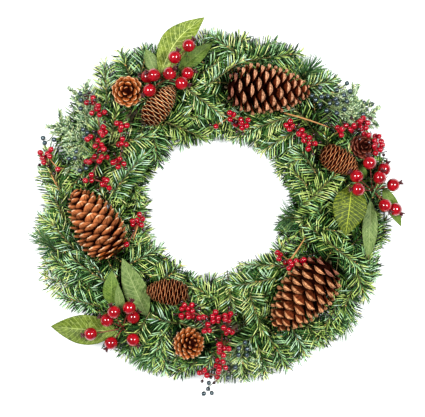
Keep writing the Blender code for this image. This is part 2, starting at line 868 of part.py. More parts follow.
def berry_offsets(count):
    """Places in a bunch: one in the middle and the others round it."""
    if count == 1:
        return [Vector((0, 0, 0))]
    if count < 4:
        ring_size = BERRY_SPACE / 2 / math.sin(math.pi / count)
        return [
            Vector((math.cos(math.tau * k / count), math.sin(math.tau * k / count), 0)) * ring_size
            for k in range(count)
        ]
    around = [
        Vector((math.cos(math.tau * k / (count - 1)), math.sin(math.tau * k / (count - 1)), -0.3))
        for k in range(count - 1)
    ]
    return [Vector((0, 0, 0))] + [step * BERRY_SPACE for step in around]


def bunch_spots(middle, count, size, rng, space):
    """Clear places for a bunch of berries and for the hub that their stalks start at."""
    best = ([], None)
    for attempt in range(30):
        turn = rng.uniform(0, math.tau)
        lift = Vector((0, 0, 1.2 * MM * attempt))
        hub = middle + lift - Vector((0, 0, size + rng.uniform(5, 10) * MM))
        spots = []
        for step in berry_offsets(count):
            x_off = step.x * math.cos(turn) - step.y * math.sin(turn)
            y_off = step.x * math.sin(turn) + step.y * math.cos(turn)
            spot = middle + lift + Vector((x_off, y_off, step.z + rng.uniform(-1, 1) * MM))
            clear = space.free(spot, size * 1.1) and space.free(spot, 0.5 * size)
            if clear and space.open_way(hub, spot, 0.9 * MM, 0.9 * MM, True):
                spots.append(spot)
        if len(spots) > len(best[0]):
            best = (spots, hub)
        if len(best[0]) == count:
            break
    return best


def berry_spray(name, bunches, size, kind, space, wreath):
    """A spray of small berries: a stem from the core that passes under each bunch."""
    rng = random.Random(name)
    bodies = []
    balls = []
    last = None
    for x, y, seen in bunches:
        top = crown(math.hypot(x, y) * MM) + BERRY_TOP[kind]
        middle = Vector((x * MM, y * MM, top))
        count = max(1, round(seen * BERRY_SHARE))
        spots, hub = bunch_spots(middle, count, size, rng, space)
        if not spots:
            continue
        if bodies:
            way = way_round(last, hub, STEM, space)
        else:
            seats = [space.seat(hub, turn) for turn in SEAT_TURNS]
            ways = [way_round(seat, hub, STEM, space) for seat in seats]
            way = next((found for found in ways if found), None)
        if way is None:
            continue
        if bodies:
            way[0] = way[0] + (way[0] - way[1]).normalized() * STEM
        last = hub
        back = (way[-2] - hub).normalized()
        for index, spot in enumerate(spots):
            points = [hub + back * (0.5 + 1.8 * index) * MM] if index else way
            pointed = not bodies
            stalk = SMALL_STALK if index else STEM
            bodies.append(berry_body(points, spot, size, stalk, pointed))
            balls.append(spot)
    meshes = []
    for spot in balls:
        space.add_ball(spot, size + 0.4 * MM)
    for body in bodies:
        space.add(body)
        meshes.append(to_mesh(body, "berry"))
    fuse(name, meshes, kind, wreath)


def clear_branch(start, bend, end, space, rng):
    """The line of a branch, with its bend and end moved a little until it is clear."""
    for attempt in range(40):
        loose = attempt * 0.8 * MM
        shift = Vector((rng.uniform(-1, 1), rng.uniform(-1, 1), rng.uniform(-0.5, 1))) * loose
        new_bend, new_end = bend + shift, end + shift * 0.8

        def line(share):
            return bend_line(start, new_bend, new_end, share)

        points = [line(k / 12) for k in range(13)]
        pairs = list(zip(points, points[1:]))
        if all(space.open_way(a, b, STEM, STEM, False) for a, b in pairs):
            break
    return line


def sprig(name, branches, needle, lean, kind, space, wreath):
    """A sprig of needles: one branch stands on the core, and the others grow from it."""
    rng = random.Random(name)
    bodies = []
    trunk = None
    for bend, tip, whorl_count in branches:
        bend, tip = mm(bend), mm(tip)
        start = trunk(0.21) if trunk else space.seat(bend)
        end = tip + (tip - bend).normalized() * needle * 0.8
        line = clear_branch(start, bend, end, space, rng)
        first = 0.42
        last = 1 - (needle * 0.8) / line_length(line)
        whorls = [first + (last - first) * k / (whorl_count - 1) for k in range(whorl_count)]
        spin = rng.uniform(0, 2)
        stem = STEM if trunk is None else 0.85 * STEM
        body, _ = needle_stem(line, whorls, needle, lean, space, spin, trunk is None, stem)
        trunk = trunk or line
        bodies.append(body)
    meshes = []
    for body in bodies:
        space.add(body)
        meshes.append(to_mesh(body, "branch"))
    fuse(name, meshes, kind, wreath)


def build():
    """The whole wreath."""
    clear_scene()
    wreath = bpy.data.collections.new("berry_wreath")
    bpy.context.scene.collection.children.link(wreath)
    cores = bmesh.new()
    for sector in range(SECTORS):
        core_body(cores, sector)
    space = Space(cores)
    cores.free()
    wire_frame(wreath)
    for name, spec in OPEN_CONES.items():
        cone(name, spec, OPEN_LOOK, space, wreath)
    for name, spec in SLIM_CONES.items():
        cone(name, spec, SLIM_LOOK, space, wreath)
    for name, spec in ROUND_CONES.items():
        cone(name, spec, ROUND_LOOK, space, wreath)
    for name, (middle, leaves) in PICKS.items():
        leafy_pick(name, middle, leaves, space, wreath)
    for name, berries in LARGE_BERRIES.items():
        large_berries(name, PICKS[name][0], berries, space, wreath)
    for name, bunches in RED_SPRAYS.items():
        berry_spray(name, bunches, SMALL_BERRY, "red", space, wreath)
    for name, bunches in BLUE_SPRAYS.items():
        berry_spray(name, bunches, BLUE_BERRY, "blue", space, wreath)
    for name, (bend, tip, whorls) in PINE_SPRIGS.items():
        sprig(name, [(bend, tip, whorls)], PINE_NEEDLE, math.radians(PINE_LEAN), "pine", space, wreath)
    for name, branches in JUNIPER_SPRAYS.items():
        arms = [(bend, tip, 3) for bend, tip in branches]
        lean = math.radians(JUNIPER_LEAN)
        sprig(name, arms, JUNIPER_NEEDLE, lean, "juniper", space, wreath)
    fir_bunches(space, wreath)


build()
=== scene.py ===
"""Looks of the berry wreath, seen from straight above as it lies on its back.

Each node of the frame is replaced by a finer piece of the same form in the same place: bunches of
fir twigs, cones with separate scales, veined leaves, berries on their stalks, pine and juniper.
Named sizes are in metres. The tables hold millimetres, unless their heading says otherwise.
"""

import math

import bpy
import numpy as np
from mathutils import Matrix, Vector

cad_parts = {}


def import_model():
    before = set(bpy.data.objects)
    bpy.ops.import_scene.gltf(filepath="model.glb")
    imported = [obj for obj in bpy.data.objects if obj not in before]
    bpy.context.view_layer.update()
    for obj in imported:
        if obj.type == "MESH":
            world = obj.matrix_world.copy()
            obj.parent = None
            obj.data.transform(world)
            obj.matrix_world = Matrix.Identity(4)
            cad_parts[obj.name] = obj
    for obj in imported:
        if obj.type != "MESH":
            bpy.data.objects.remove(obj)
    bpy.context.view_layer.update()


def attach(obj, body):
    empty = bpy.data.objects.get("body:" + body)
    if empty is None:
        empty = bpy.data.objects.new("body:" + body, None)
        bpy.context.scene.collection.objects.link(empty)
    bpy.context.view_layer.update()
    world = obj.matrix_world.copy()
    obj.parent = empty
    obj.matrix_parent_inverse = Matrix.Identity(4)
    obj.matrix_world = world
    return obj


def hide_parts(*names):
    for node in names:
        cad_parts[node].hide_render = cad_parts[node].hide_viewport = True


MM = 0.001
SEED = 7
GOLDEN = math.pi * (3 - math.sqrt(5))
LOOK_MAP = "Look"  # each material's own pattern lies on this map
BAKE_MAP = "OFBake"  # the same, with a band for each material of the piece
BAND_EDGE = 0.02  # left free at each side of a band
LANES = 64  # strips of the needles' map, each of one shade
LANE = 1 / LANES
UP = (0, 0, 1.0)

# The ring and the foliage's outline, as in the frame
SECTORS = 14
RING_RADIUS = 197 * MM
CORE_RADIUS = 17 * MM
CORE_Z = 19.1 * MM
WIRE_RINGS = (187 * MM, 207 * MM)
WIRE_RADIUS = 2.2 * MM
WIRE_Z = 3.4 * MM
WIRE_SIDES = 10
WIRE_STEPS = 120
STRIP_SIZE = (46 * MM, 12 * MM, 2 * MM)
STRIP_EDGE = 0.4 * MM
STRIP_ANGLES = (90, 210, 330)
STRIP_SIDES = 24
CROWN_HIGH = 76 * MM
CROWN_LOW = 44 * MM
CROWN_HALF = 98 * MM
HOLE_RADIUS = 106 * MM
FLOOR = 2.5 * MM
SHADE_DEPTH = 24 * MM  # below the foliage's top, where the painted shade on its needles is darkest
DUCK_STEP = 4 * MM  # a twig's path goes down in such steps, at most so many, to clear a cone
DUCK_STEPS = 14

# Layers of fir twigs: number round the wreath, radius and height of the tip, radius and height
# of the bend, degrees round the ring from the foot to the tip, how much that varies, and tone, which is
# painted shade: the lower the layer, the darker
FIR_LAYERS = (
    (62, 270, 16, 252, 20, 14, 4, -0.04), (58, 271, 34, 250, 42, -16, 5, 0.0),
    (54, 256, 50, 234, 60, 20, 6, 0.03), (26, 234, 60, 212, 70, -22, 7, 0.06),
    (46, 127, 18, 146, 20, -20, 5, -0.04), (42, 128, 36, 148, 44, 24, 6, 0.0),
    (40, 140, 50, 162, 62, -24, 7, 0.03), (22, 160, 58, 180, 70, 26, 8, 0.06),
    (16, 202, 66, 200, 72, 24, 5, 0.06),
)
LAYER_TONE = 0.54
EDGE_HEIGHT = 45  # the layers whose tips are lower make the outline
# Where the foliage bulges: degrees round the ring, half width there, millimetres outward
OUTER_BULGES = (
    (72, 14, 4), (130, 13, 14), (168, 14, 12), (202, 15, 26), (237, 10, 10), (252, 9, 8),
    (263, 4, -36), (272, 12, 6), (290, 8, 10), (320, 12, 14),
)
INNER_BULGES = (
    (4, 13, -12), (100, 9, 12), (120, 8, 6), (158, 10, -8), (172, 8, 6), (245, 12, -7),
    (279, 7, -10), (296, 9, 10), (344, 9, 17),
)
# Painted light and shade on the fir, darker or lighter round the ring: degrees round the ring, half width,
# thousandths of tone
LIGHT_DRIFTS = ((352, 26, -150), (45, 14, 90), (194, 10, 140), (224, 13, -190), (255, 12, 90))

FIR_NEEDLE = 26 * MM
FIR_WIDTH = 1.8 * MM
FIR_PITCH = 4.35 * MM  # along the stem, from one whorl to the next
FIR_LEAN = 60  # degrees from the way ahead
# A whorl's needles: degrees from the side, tone, and length as a share of the longest. The tone is painted
# shade: the rows that point down are much darker.
FIR_ROWS = (
    (-24, -0.46, 1.0), (5, 0.10, 1.0), (52, 0.02, 0.58),
    (128, 0.02, 0.58), (175, 0.10, 1.0), (204, -0.46, 1.0),
)
PALE_SHARE = 0.6  # of a twig's needles
PALE_TONE = 0.23
DARK_TONE = -0.30
# painted shade: how much darker a needle is, the deeper it lies in the foliage
DEPTH_SHADE = 0.38
COOL_SHARES = (0.2, 0.35, 0.5, 0.7)  # of a twig's needles, the share that is bluish
SIDE_BUDS = 2

# The twigs that lie on top: x and y of the start and of the end, and hundredths of tone
FRONT_TWIGS = (
    (-241, 9, -271, 71, 8), (-226, -71, -274, -15, 10), (-167, -127, -231, -84, 0),
    (-186, -161, -250, -146, 0), (-151, -100, -90, -68, -2), (-96, -128, -58, -97, -2),
    (-174, 9, -116, 81, 12), (-156, -22, -182, 18, 8), (-174, 95, -103, 111, 6),
    (-174, 162, -180, 230, 6), (-198, 160, -212, 188, 2), (-135, 198, -154, 246, 4),
    (-122, 204, -111, 249, 8), (-50, 188, 9, 143, 10), (-18, 188, 41, 231, 12),
    (-82, 134, -14, 105, -8), (-104, 124, -92, 66, -10), (38, 236, -7, 272, 10),
    (46, 230, 134, 244, -2), (121, 143, 46, 118, 10), (73, 138, 29, 107, 6),
    (150, 89, 102, 54, 4), (134, 124, 73, 88, 10), (169, 33, 134, 89, -12),
    (162, 9, 119, 60, -2), (134, -4, 194, 54, 2), (134, -31, 198, -42, -6),
    (217, -90, 150, -36, 0), (239, -127, 249, -31, -4), (217, -79, 236, -145, 2),
    (182, -63, 233, -100, 0), (118, -191, 142, -238, 10), (142, -186, 169, -223, 6),
    (82, -207, 114, -260, 2), (66, -223, 78, -271, 8), (118, -97, 38, -94, 10),
    (94, -116, 25, -129, 12), (17, -104, 25, -170, 14), (46, -122, 73, -199, 10),
    (-82, -199, -106, -255, 4), (-66, -207, -63, -244, 2), (-90, -199, -82, -266, 0),
    (-106, -170, -142, -231, 2), (-2, -231, -18, -262, 6), (38, -231, 46, -275, 4),
    (-167, 105, -158, 156, 8), (142, 188, 190, 201, 8), (-244, -20, -262, 24, 10),
    (-238, -40, -282, -20, 8), (218, -134, 184, -204, -2), (142, -214, 206, -180, -4),
    (196, -150, 160, -214, -6), (-208, -96, -258, -104, 0), (-214, -118, -262, -84, 0),
)
FRONT_HEIGHTS = (-10, 5, 0)  # over the foliage's top, at a front twig's start, middle and end
FRONT_TONE = 0.47

# Bare stems over the foliage: from and to, and how high over it
BARE_STEMS = (
    ((108, 147), (180, 124), 8), ((-274, 70), (-250, 22), 6),
    ((112, -94), (142, -50), 8), ((-124, -28), (-133, -56), 6),
)
STEM_SUNK = 6 * MM

# Cones of each kind: the step of its seeds and how far along its keep-out is widest. Then for each
# cone the middle of its base, its tip, its radius, material, scale form and number of scales, the
# degrees that the first and the last scale lean, a scale's size, and how far along it is widest
CONES = (
    (31, 0.33, {
        "open_left": ((-160, -80, 76), (-226, 26, 82), 40, "rust", "broad", 100, 54, 26, 20, 0.36),
        "open_top": ((16, 186, 79), (150, 181, 80), 41, "dark", "open", 92, 76, 34, 18, 0.33),
        "open_right": ((181, -92, 80), (91, -196, 78), 43.5, "tan", "open", 94, 72, 32, 19.5, 0.33),
    }),
    (67, 0.4, {
        "slim_top": ((-113, 130, 63), (-68, 191, 62), 20.5, "gold", "slim", 112, 60, 38, 10.2, 0.4),
        "slim_right": ((166, 87, 68), (226, 55, 66), 20.5, "bronze", "slim", 112, 60, 38, 10.2, 0.4),
        "slim_bottom": ((-44, -140, 66), (-113, -135, 70), 20.5, "bronze", "slim", 112, 60, 38, 10.2, 0.4),
    }),
    (91, 0.4, {
        "round_top": ((-142, 182, 50), (-142, 182, 88), 25, "round", "round", 48, 78, 40, 11, 0.4),
        "round_bottom": ((-50, -222, 48), (-36, -216, 88), 26, "round", "finger", 72, 80, 46, 11, 0.4),
        "round_right": ((232, 94, 38), (238, 96, 66), 20, "shade", "round", 44, 80, 30, 11, 0.4),
    }),
)
BASE_LOOKS = {"dark": "shade", "tan": "shade", "rust": "round"}  # of the scales round the base
BASE_SHARE = 0.1  # of a cone's scales, those round its base
CONE_VERSIONS = 4
SCALE_COLUMNS = 7

# Forms of a scale: height of the ridge at its lip, how evenly thick it is across, how far its
# corners fall back, how round its hollow is, and the least that it reaches from the axis. Then its
# stations from foot to lip, in hundredths: how far along, width, lift, thickness and hollow
SCALES = {
    "open": (0.04, 1.9, 0.14, 2, 0.05, (
        (0, 34, 0, 12, 2), (22, 50, -3, 10, 3), (44, 74, -5, 10, 5), (64, 100, -5, 12, 6),
        (80, 118, -2, 16, 7), (90, 122, 3, 28, 6), (96, 114, 6, 32, 5), (100, 86, 8, 5, 3),
    )),
    "broad": (0.02, 8, 0.02, 1, 0.05, (
        (0, 40, 0, 10, -4), (30, 66, 0, 10, -6), (56, 98, 0, 11, -8), (70, 124, 3, 12, -11),
        (80, 134, 6, 13, -12), (90, 100, 8, 13, -9), (97, 52, 9, 10, -5), (100, 20, 9, 4, -2),
    )),
    "slim": (0.0, 6, 0.05, 2, 0.05, (
        (0, 80, 0, 7, -8), (40, 150, 2, 7, -18), (70, 195, 5, 8, -26),
        (86, 205, 9, 9, -28), (95, 195, 13, 10, -27), (100, 170, 16, 4, -22),
    )),
    "round": (0.0, 4, 0.10, 2, 0.12, (
        (0, 34, 0, 10, 0), (30, 60, 0, 9, -3), (60, 94, 2, 9, -8),
        (80, 116, 5, 11, -12), (93, 114, 9, 13, -11), (100, 84, 11, 5, -6),
    )),
    "finger": (0.04, 2.4, 0.14, 2, 0.12, (
        (0, 34, 0, 12, 2), (30, 50, 0, 12, 3), (60, 74, 2, 15, 4),
        (80, 88, 5, 20, 5), (93, 80, 9, 24, 4), (100, 42, 12, 8, 2),
    )),
}

# Picks: the middle, then each leaf's base, tip, width, arch and material, then the large berries
PICKS = {
    "pick_top": ((-82, 201, 50), (
        ((-90, 208, 54), (-19, 301, 58), 46, 6, "leaf_light"),
        ((-62, 218, 38), (-6, 262, 40), 26, 4, "leaf_bright"),
        ((-98, 214, 50), (-113, 251, 50), 22, 4, "leaf_pale"),
    ), (
        (-44, 253, 82), (-66, 234, 88), (-74, 208, 92), (-46, 210, 72),
        (-99, 206, 88), (-110, 205, 68), (-106, 182, 84), (-55, 193, 87),
    )),
    "pick_right": ((250, 24, 40), (
        ((215, 33, 74), (204, -48, 80), 54, 7, "leaf_mottled"),
        ((247, 8, 52), (243, -89, 48), 25, 7, "leaf_pale"),
        ((268, 30, 40), (298, -34, 36), 22, 5, "leaf_bright"),
        ((240, 44, 50), (222, 66, 52), 16, 3, "leaf_bright"),
    ), (
        (241, 67, 92), (267, 58, 66), (258, 44, 82), (282, 33, 62),
        (221, 46, 87), (222, 25, 101), (268, 0, 70), (286, -6, 59),
    )),
    "pick_bottom": ((-150, -196, 44), (
        ((-160, -202, 52), (-266, -194, 46), 48, 8, "leaf_olive"),
        ((-168, -158, 62), (-166, -103, 74), 27, 4, "leaf_bright"),
        ((-112, -178, 42), (-150, -84, 68), 38, 3, "leaf_pale"),
        ((-152, -172, 60), (-156, -124, 84), 16, 3, "leaf_pale"),
    ), (
        (-162, -168, 90), (-138, -162, 80), (-133, -178, 64), (-174, -182, 76),
        (-200, -204, 73), (-168, -219, 68), (-133, -214, 64),
    )),
}
LEAF_THICK = 0.9 * MM
LEAF_FOLD = 0.22
LEAF_BOWS = {"leaf_light": 12 * MM}  # how far such a leaf bows to its left
LEAF_ROWS = 30
LEAF_COLUMNS = 13
LEAF_VEINS = 13
LEAF_VERSIONS = 4
LARGE_BERRY = 10.5 * MM
BERRY_VERSIONS = 8

# Small berries: slot, radius, height over the foliage, how loose a bunch is, the stalk's material,
# and the share of a berry's radius that keeps needles from lying over it
BERRY_KINDS = {
    "berry_red": ("red", 4.7 * MM, 10 * MM, 0.8, "stem_red", 0.95),
    "berry_blue": ("blue", 4.1 * MM, 5 * MM, 1.7, "stem_green", 0.8),
}
BEAD = 2.8 * MM
# Sprays of each kind: the stem's material, and bunches in order along it, as x, y, berries
SPRAYS = {
    "berry_red": {
        "berries_left_long": ("stem_red", (
            (-175, 34, 5), (-202, 42, 3), (-180, 73, 3), (-198, 71, 4), (-185, 92, 5),
            (-199, 105, 2), (-180, 118, 4), (-188, 151, 6), (-199, 167, 3),
        )),
        "berries_left_short": ("stem_red", ((-155, 68, 5), (-150, 100, 4), (-150, 125, 5))),
        "berries_left_tan": ("stem_tan", ((-252, 58, 1), (-273, 79, 7))),
        "berries_left_inner": ("stem_red", ((-140, -62, 1), (-125, -24, 7))),
        "berries_top_left": ("stem_tan", ((-1, 128, 1), (23, 143, 3), (42, 130, 6))),
        "berries_top_right": ("stem_red", ((116, 126, 4), (134, 114, 4), (148, 97, 6))),
        "berries_right_long": ("stem_tan", ((194, 119, 4), (212, 124, 4), (230, 130, 8), (236, 114, 3))),
        "berries_right_end": ("stem_red", ((256, 105, 5), (255, 91, 5))),
        "berries_right_inner": ("stem_tan", ((137, -90, 3), (118, -92, 5), (98, -76, 3))),
        "berries_bottom_left": ("stem_red", ((-23, -175, 3), (-47, -170, 10), (-16, -194, 4))),
        "berries_bottom_mid": ("stem_red", ((-1, -177, 5), (15, -177, 6), (18, -198, 4))),
        "berries_bottom_end": ("stem_red", ((9, -226, 7), (7, -253, 6), (-21, -266, 4), (2, -273, 2))),
    },
    "berry_blue": {
        "blue_berries_left": ("stem_green", (
            (-208, 62, 3), (-226, 80, 3), (-202, 114, 4), (-212, 168, 4), (-269, 104, 3),
        )),
        "blue_berries_right": ("stem_green", ((203, 179, 6), (160, 171, 5), (187, 158, 7), (238, 157, 4))),
        "blue_berries_bottom": ("stem_green", ((44, -228, 5), (20, -263, 4), (-13, -294, 4))),
    },
}

# Pine sprigs and branches of juniper: where each bends and where it ends
PINE_SPRIGS = {
    "pine_sprig_left": ((-240, -92, 50), (-280, -50, 60)),
    "pine_sprig_bottom": ((-100, -226, 48), (-120, -246, 48)),
    "pine_sprig_right": ((222, -150, 48), (198, -200, 48)),
    "pine_sprig_top": ((130, 205, 54), (156, 220, 60)),
    "pine_sprig_inner": ((112, -16, 56), (104, -26, 62)),
    "pine_sprig_crest": ((56, 228, 50), (92, 246, 54)),
}
JUNIPER_SPRAYS = {
    "juniper_left": (
        ((-206, 92, 60), (-262, 138, 58)),
        ((-190, 110, 60), (-222, 192, 60)),
        ((-200, 80, 56), (-236, 72, 56)),
    ),
    "juniper_right": (((196, 160, 58), (232, 176, 58)), ((196, 150, 58), (262, 142, 58))),
    "juniper_bottom": (((36, -222, 56), (52, -262, 56)), ((24, -220, 56), (22, -274, 50))),
}
# Their needles: degrees of lean and how they fall to the tip and vary, a length, the least and most
# of it, the width, and the shade, how painted light raises it for needles that point up and lie further
# along, and how it varies
BRUSHES = {
    "pine": (58, 34, 6, 38 * MM, 0.75, 1.08, 1.1 * MM, 0.5, 0.0, 0.25),
    "juniper": (48, 20, 9, MM, 5, 9, 1.7 * MM, 0.44, 0.2, 0.32),
}

# The camera: the photo's width at the foliage's middle height
VIEW_WIDTH = 0.680
VIEW_HEIGHT = 0.055
VIEW_MIDDLE = (-6.4 * MM, -4.8 * MM)
LENS = 122
SENSOR = 36
LAMPS = {"lamp_left": (-1.2, 0.2, 2.3), "lamp_right": (1.2, 0.2, 2.3)}
LAMP_POWER = 60
LAMP_SIZE = 0.60


def mm(place):
    """A point given in millimetres."""
    return np.array(place, float) * MM


def unit(ways):
    """Ways of length one."""
    return ways / np.maximum(np.linalg.norm(ways, axis=-1, keepdims=True), 1e-12)


def two_sides(axis, hint):
    """Two ways that are square to an axis and to each other."""
    side = unit(np.cross(axis, hint))
    return side, np.cross(axis, side)


def bearing(place):
    """A place's angle round the wreath, in degrees."""
    return math.degrees(math.atan2(place[1], place[0]))


def sector_of(angle):
    """The bunch at an angle round the wreath."""
    return int(angle % 360 / 360 * SECTORS)


def crown(radius):
    """Height of the foliage's top at a distance from the wreath's middle."""
    off = (radius - RING_RADIUS) / CROWN_HALF
    return CROWN_LOW + (CROWN_HIGH - CROWN_LOW) * np.maximum(0.0, 1 - off * off)


def over_crown(x, y, over):
    """A point so many metres over the foliage's top. x and y are in millimetres."""
    return np.array((x * MM, y * MM, crown(math.hypot(x, y) * MM) + over))


def ring_point(angle, radius=RING_RADIUS, height=CORE_Z):
    """A point by its angle round the wreath, in degrees."""
    turn = math.radians(angle)
    return np.array((radius * math.cos(turn), radius * math.sin(turn), height))


def ring_section(angles, turns, thick, radius=RING_RADIUS, height=CORE_Z):
    """Points on a round ring: angles along it, and turns round its section."""
    return np.array([
        ring_point(a, radius + thick * math.cos(t), height + thick * math.sin(t))
        for a, t in zip(angles, turns)
    ])


def seat_below(place):
    """Where the stem of something at a place leaves the ring."""
    seat = ring_point(bearing(place))
    return seat + unit(place - seat) * (CORE_RADIUS + 1 * MM)


def bend_line(start, middle, end, count):
    """Points of the smooth bend that leaves start towards middle and ends at end."""
    share = np.linspace(0, 1, count)[:, None]
    return start * (1 - share) ** 2 + 2 * middle * share * (1 - share) + end * share**2


def new_object(name, data):
    """An object in the scene."""
    made = bpy.data.objects.new(name, data)
    bpy.context.scene.collection.objects.link(made)
    return made


class Piece:
    """Gathers the triangles of one piece, with each point's place on the map."""

    def __init__(self, name, slot):
        self.name = name
        self.slot = slot
        self.looks = []
        self.parts = []
        self.count = 0

    def add(self, points, faces, places, look):
        """Takes in points (n, 3), triangles (m, 3) and places (n, 2) in one material."""
        if look not in self.looks:
            self.looks.append(look)
        band = self.looks.index(look)
        kinds = np.full(len(faces), band)
        self.parts.append((points, faces + self.count, places, kinds, np.full(len(points), band)))
        self.count += len(points)

    def finish(self, *nodes):
        """Makes the object, which stands for the frame's nodes."""
        points, faces, places, kinds, bands = (np.concatenate(part) for part in zip(*self.parts))
        mesh = bpy.data.meshes.new(self.name)
        mesh.vertices.add(len(points))
        mesh.vertices.foreach_set("co", points.astype(np.float32).ravel())
        mesh.loops.add(faces.size)
        mesh.loops.foreach_set("vertex_index", faces.astype(np.int32).ravel())
        mesh.polygons.add(len(faces))
        mesh.polygons.foreach_set("loop_start", np.arange(0, faces.size, 3, dtype=np.int32))
        mesh.polygons.foreach_set("material_index", kinds.astype(np.int32))
        mesh.polygons.foreach_set("use_smooth", np.ones(len(faces), bool))
        packed = places.copy()
        packed[:, 1] = (BAND_EDGE + places[:, 1] * (1 - 2 * BAND_EDGE) + bands) / len(self.looks)
        for name, found in ((LOOK_MAP, places), (BAKE_MAP, packed)):
            found = found[faces.ravel()].astype(np.float32).ravel()
            mesh.uv_layers.new(name=name).data.foreach_set("uv", found)
        mesh.update(calc_edges=True)
        for look in self.looks:
            mesh.materials.append(LOOKS[look])
        item = new_object(self.name, mesh)
        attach(item, "root")
        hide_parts(*nodes)


# Bars and needles

def spin_frames(path):
    """For each point of a path: its direction and two sides of it that don't twist."""
    along = unit(np.gradient(path, axis=0))
    side = np.empty_like(along)
    side[0] = unit(np.cross(along[0], (0.31, 0.52, 0.79)))
    for index in range(1, len(path)):
        side[index] = unit(side[index - 1] - along[index] * np.dot(side[index - 1], along[index]))
    return along, side, np.cross(along, side)


def spokes(side, across, sides, first=0.0, flat=1.0):
    """Ways out round each point, evenly turned and flattened one way."""
    turn = (np.arange(sides) + first) * math.tau / sides
    one, two = np.cos(turn)[None, :, None], np.sin(turn)[None, :, None]
    return side[:, None] * one + across[:, None] * two * flat


def ring_faces(rings, sides):
    """Triangles between rings of points, each ring after the other."""
    row = np.arange(rings - 1)[:, None] * sides
    low = row + np.arange(sides)
    other = row + (np.arange(sides) + 1) % sides
    one = np.stack((low, other, other + sides), -1)
    two = np.stack((low, other + sides, low + sides), -1)
    return np.concatenate((one.reshape(-1, 3), two.reshape(-1, 3)))


def closed_faces(rings, sides):
    """Triangles between rings of points, closed at both ends by two points that come after them."""
    k = np.arange(sides)
    after = (k + 1) % sides
    last = (rings - 1) * sides
    foot = np.stack((np.full(sides, rings * sides), after, k), -1)
    head = np.stack((np.full(sides, rings * sides + 1), last + k, last + after), -1)
    return np.concatenate((ring_faces(rings, sides), foot, head))


def tube(piece, path, radii, sides, look, lane=0.5):
    """A round bar along a path, closed at both ends."""
    path = np.asarray(path, float)
    count = len(path)
    radii = np.broadcast_to(np.asarray(radii, float), (count,))
    _, side, across = spin_frames(path)
    points = (path[:, None] + spokes(side, across, sides) * radii[:, None, None]).reshape(-1, 3)
    places = np.empty((len(points) + 2, 2))
    places[:-2, 0] = np.repeat(np.linspace(0, 1, count), sides)
    places[:-2, 1] = np.tile(lane + LANE * np.arange(sides) / sides, count)
    places[-2:] = (0.03, lane), (0.97, lane)
    piece.add(np.concatenate((points, path[:1], path[-1:])), closed_faces(count, sides), places, look)


def taper(piece, path, thick, thin, sides, look, lane=0.5):
    """A bar that thins out along its path. Its radii are in millimetres."""
    tube(piece, path, np.linspace(thick, thin, len(path)) * MM, sides, look, lane)


class KeepOut:
    """Where no needle may stand: in cones, berries and leaves, and over them."""

    def __init__(self):
        self.balls = []
        self.lids = []

    def add_ball(self, centre, radius, cover):
        """A round body, and the share of its radius that shows from above."""
        self.balls.append((*centre, radius))
        self.lids.append((*centre, radius * cover))

    def add_blade(self, line, halves):
        """A leaf's middle line and its half widths."""
        self.lids += [(x, y, z - 1.5 * MM, half) for (x, y, z), half in zip(line, halves)]

    def clear(self, points):
        """True for each point that stands free."""
        balls = np.array(self.balls).T
        lids = np.array(self.lids).T
        x, y, z = points.T[:, :, None]
        inside = (x - balls[0]) ** 2 + (y - balls[1]) ** 2 + (z - balls[2]) ** 2 < balls[3] ** 2
        over = ((x - lids[0]) ** 2 + (y - lids[1]) ** 2 < lids[3] ** 2) & (z > lids[2])
        return ~(inside.any(1) | over.any(1))

    def frees(self, roots, ways, sizes):
        """True for each needle whose middle and tip stand free, inside the wreath's outline."""
        free = np.ones(len(roots), bool)
        for share in (0.35, 0.7, 1.0):
            points = roots + ways * sizes[:, None] * share
            free &= self.clear(points)
            free &= points[:, 2] > FLOOR
            free &= np.hypot(points[:, 0], points[:, 1]) > HOLE_RADIUS - 12 * MM
        return free


NEEDLE_FACES = np.array((
    (0, 1, 4), (0, 4, 3), (1, 2, 5), (1, 5, 4), (2, 0, 3),
    (2, 3, 5), (3, 4, 6), (4, 5, 6), (5, 3, 6), (2, 1, 0),
))


def needles(piece, keep, roots, along, out, lean, sizes, width, look, shades, rng):
    """Flat three-sided needles that lean out, broad side up: a narrow foot, a full body, a point."""
    ways = unit(along * np.cos(lean)[:, None] + out * np.sin(lean)[:, None])
    free = keep.frees(roots, ways, sizes)
    roots, ways, sizes, shades = roots[free], ways[free], sizes[free, None], shades[free]
    count = len(roots)
    if not count:
        return
    side = unit(np.cross(ways, UP + rng.normal(0, 0.3, (count, 3))))
    ring = spokes(side, np.cross(ways, side), 3, 0.25, 0.55)
    foot = roots[:, None] + ring * width * 0.32
    belly = (roots + ways * sizes * 0.72)[:, None] + ring * width * 0.52
    tip = (roots + ways * sizes)[:, None]
    points = np.concatenate((foot, belly, tip), 1).reshape(-1, 3)
    faces = (np.arange(count)[:, None, None] * 7 + NEEDLE_FACES).reshape(-1, 3)
    lane = np.floor(np.clip(shades, 0, 0.999) * LANES) / LANES
    wide = np.array((0.1, 0.5, 0.9, 0.1, 0.5, 0.9, 0.5)) * LANE
    far = np.array((0.04, 0.0, 0.04, 0.72, 0.72, 0.72, 0.98))
    places = np.stack((np.tile(far, (count, 1)), lane[:, None] + wide), -1).reshape(-1, 2)
    piece.add(points, faces, places, look)


def spread(path, share):
    """Places at shares of a path, and the number of the point before each."""
    at = share * (len(path) - 1)
    low = np.minimum(at.astype(int), len(path) - 2)
    part = (at - low)[:, None]
    return path[low] * (1 - part) + path[low + 1] * part, low


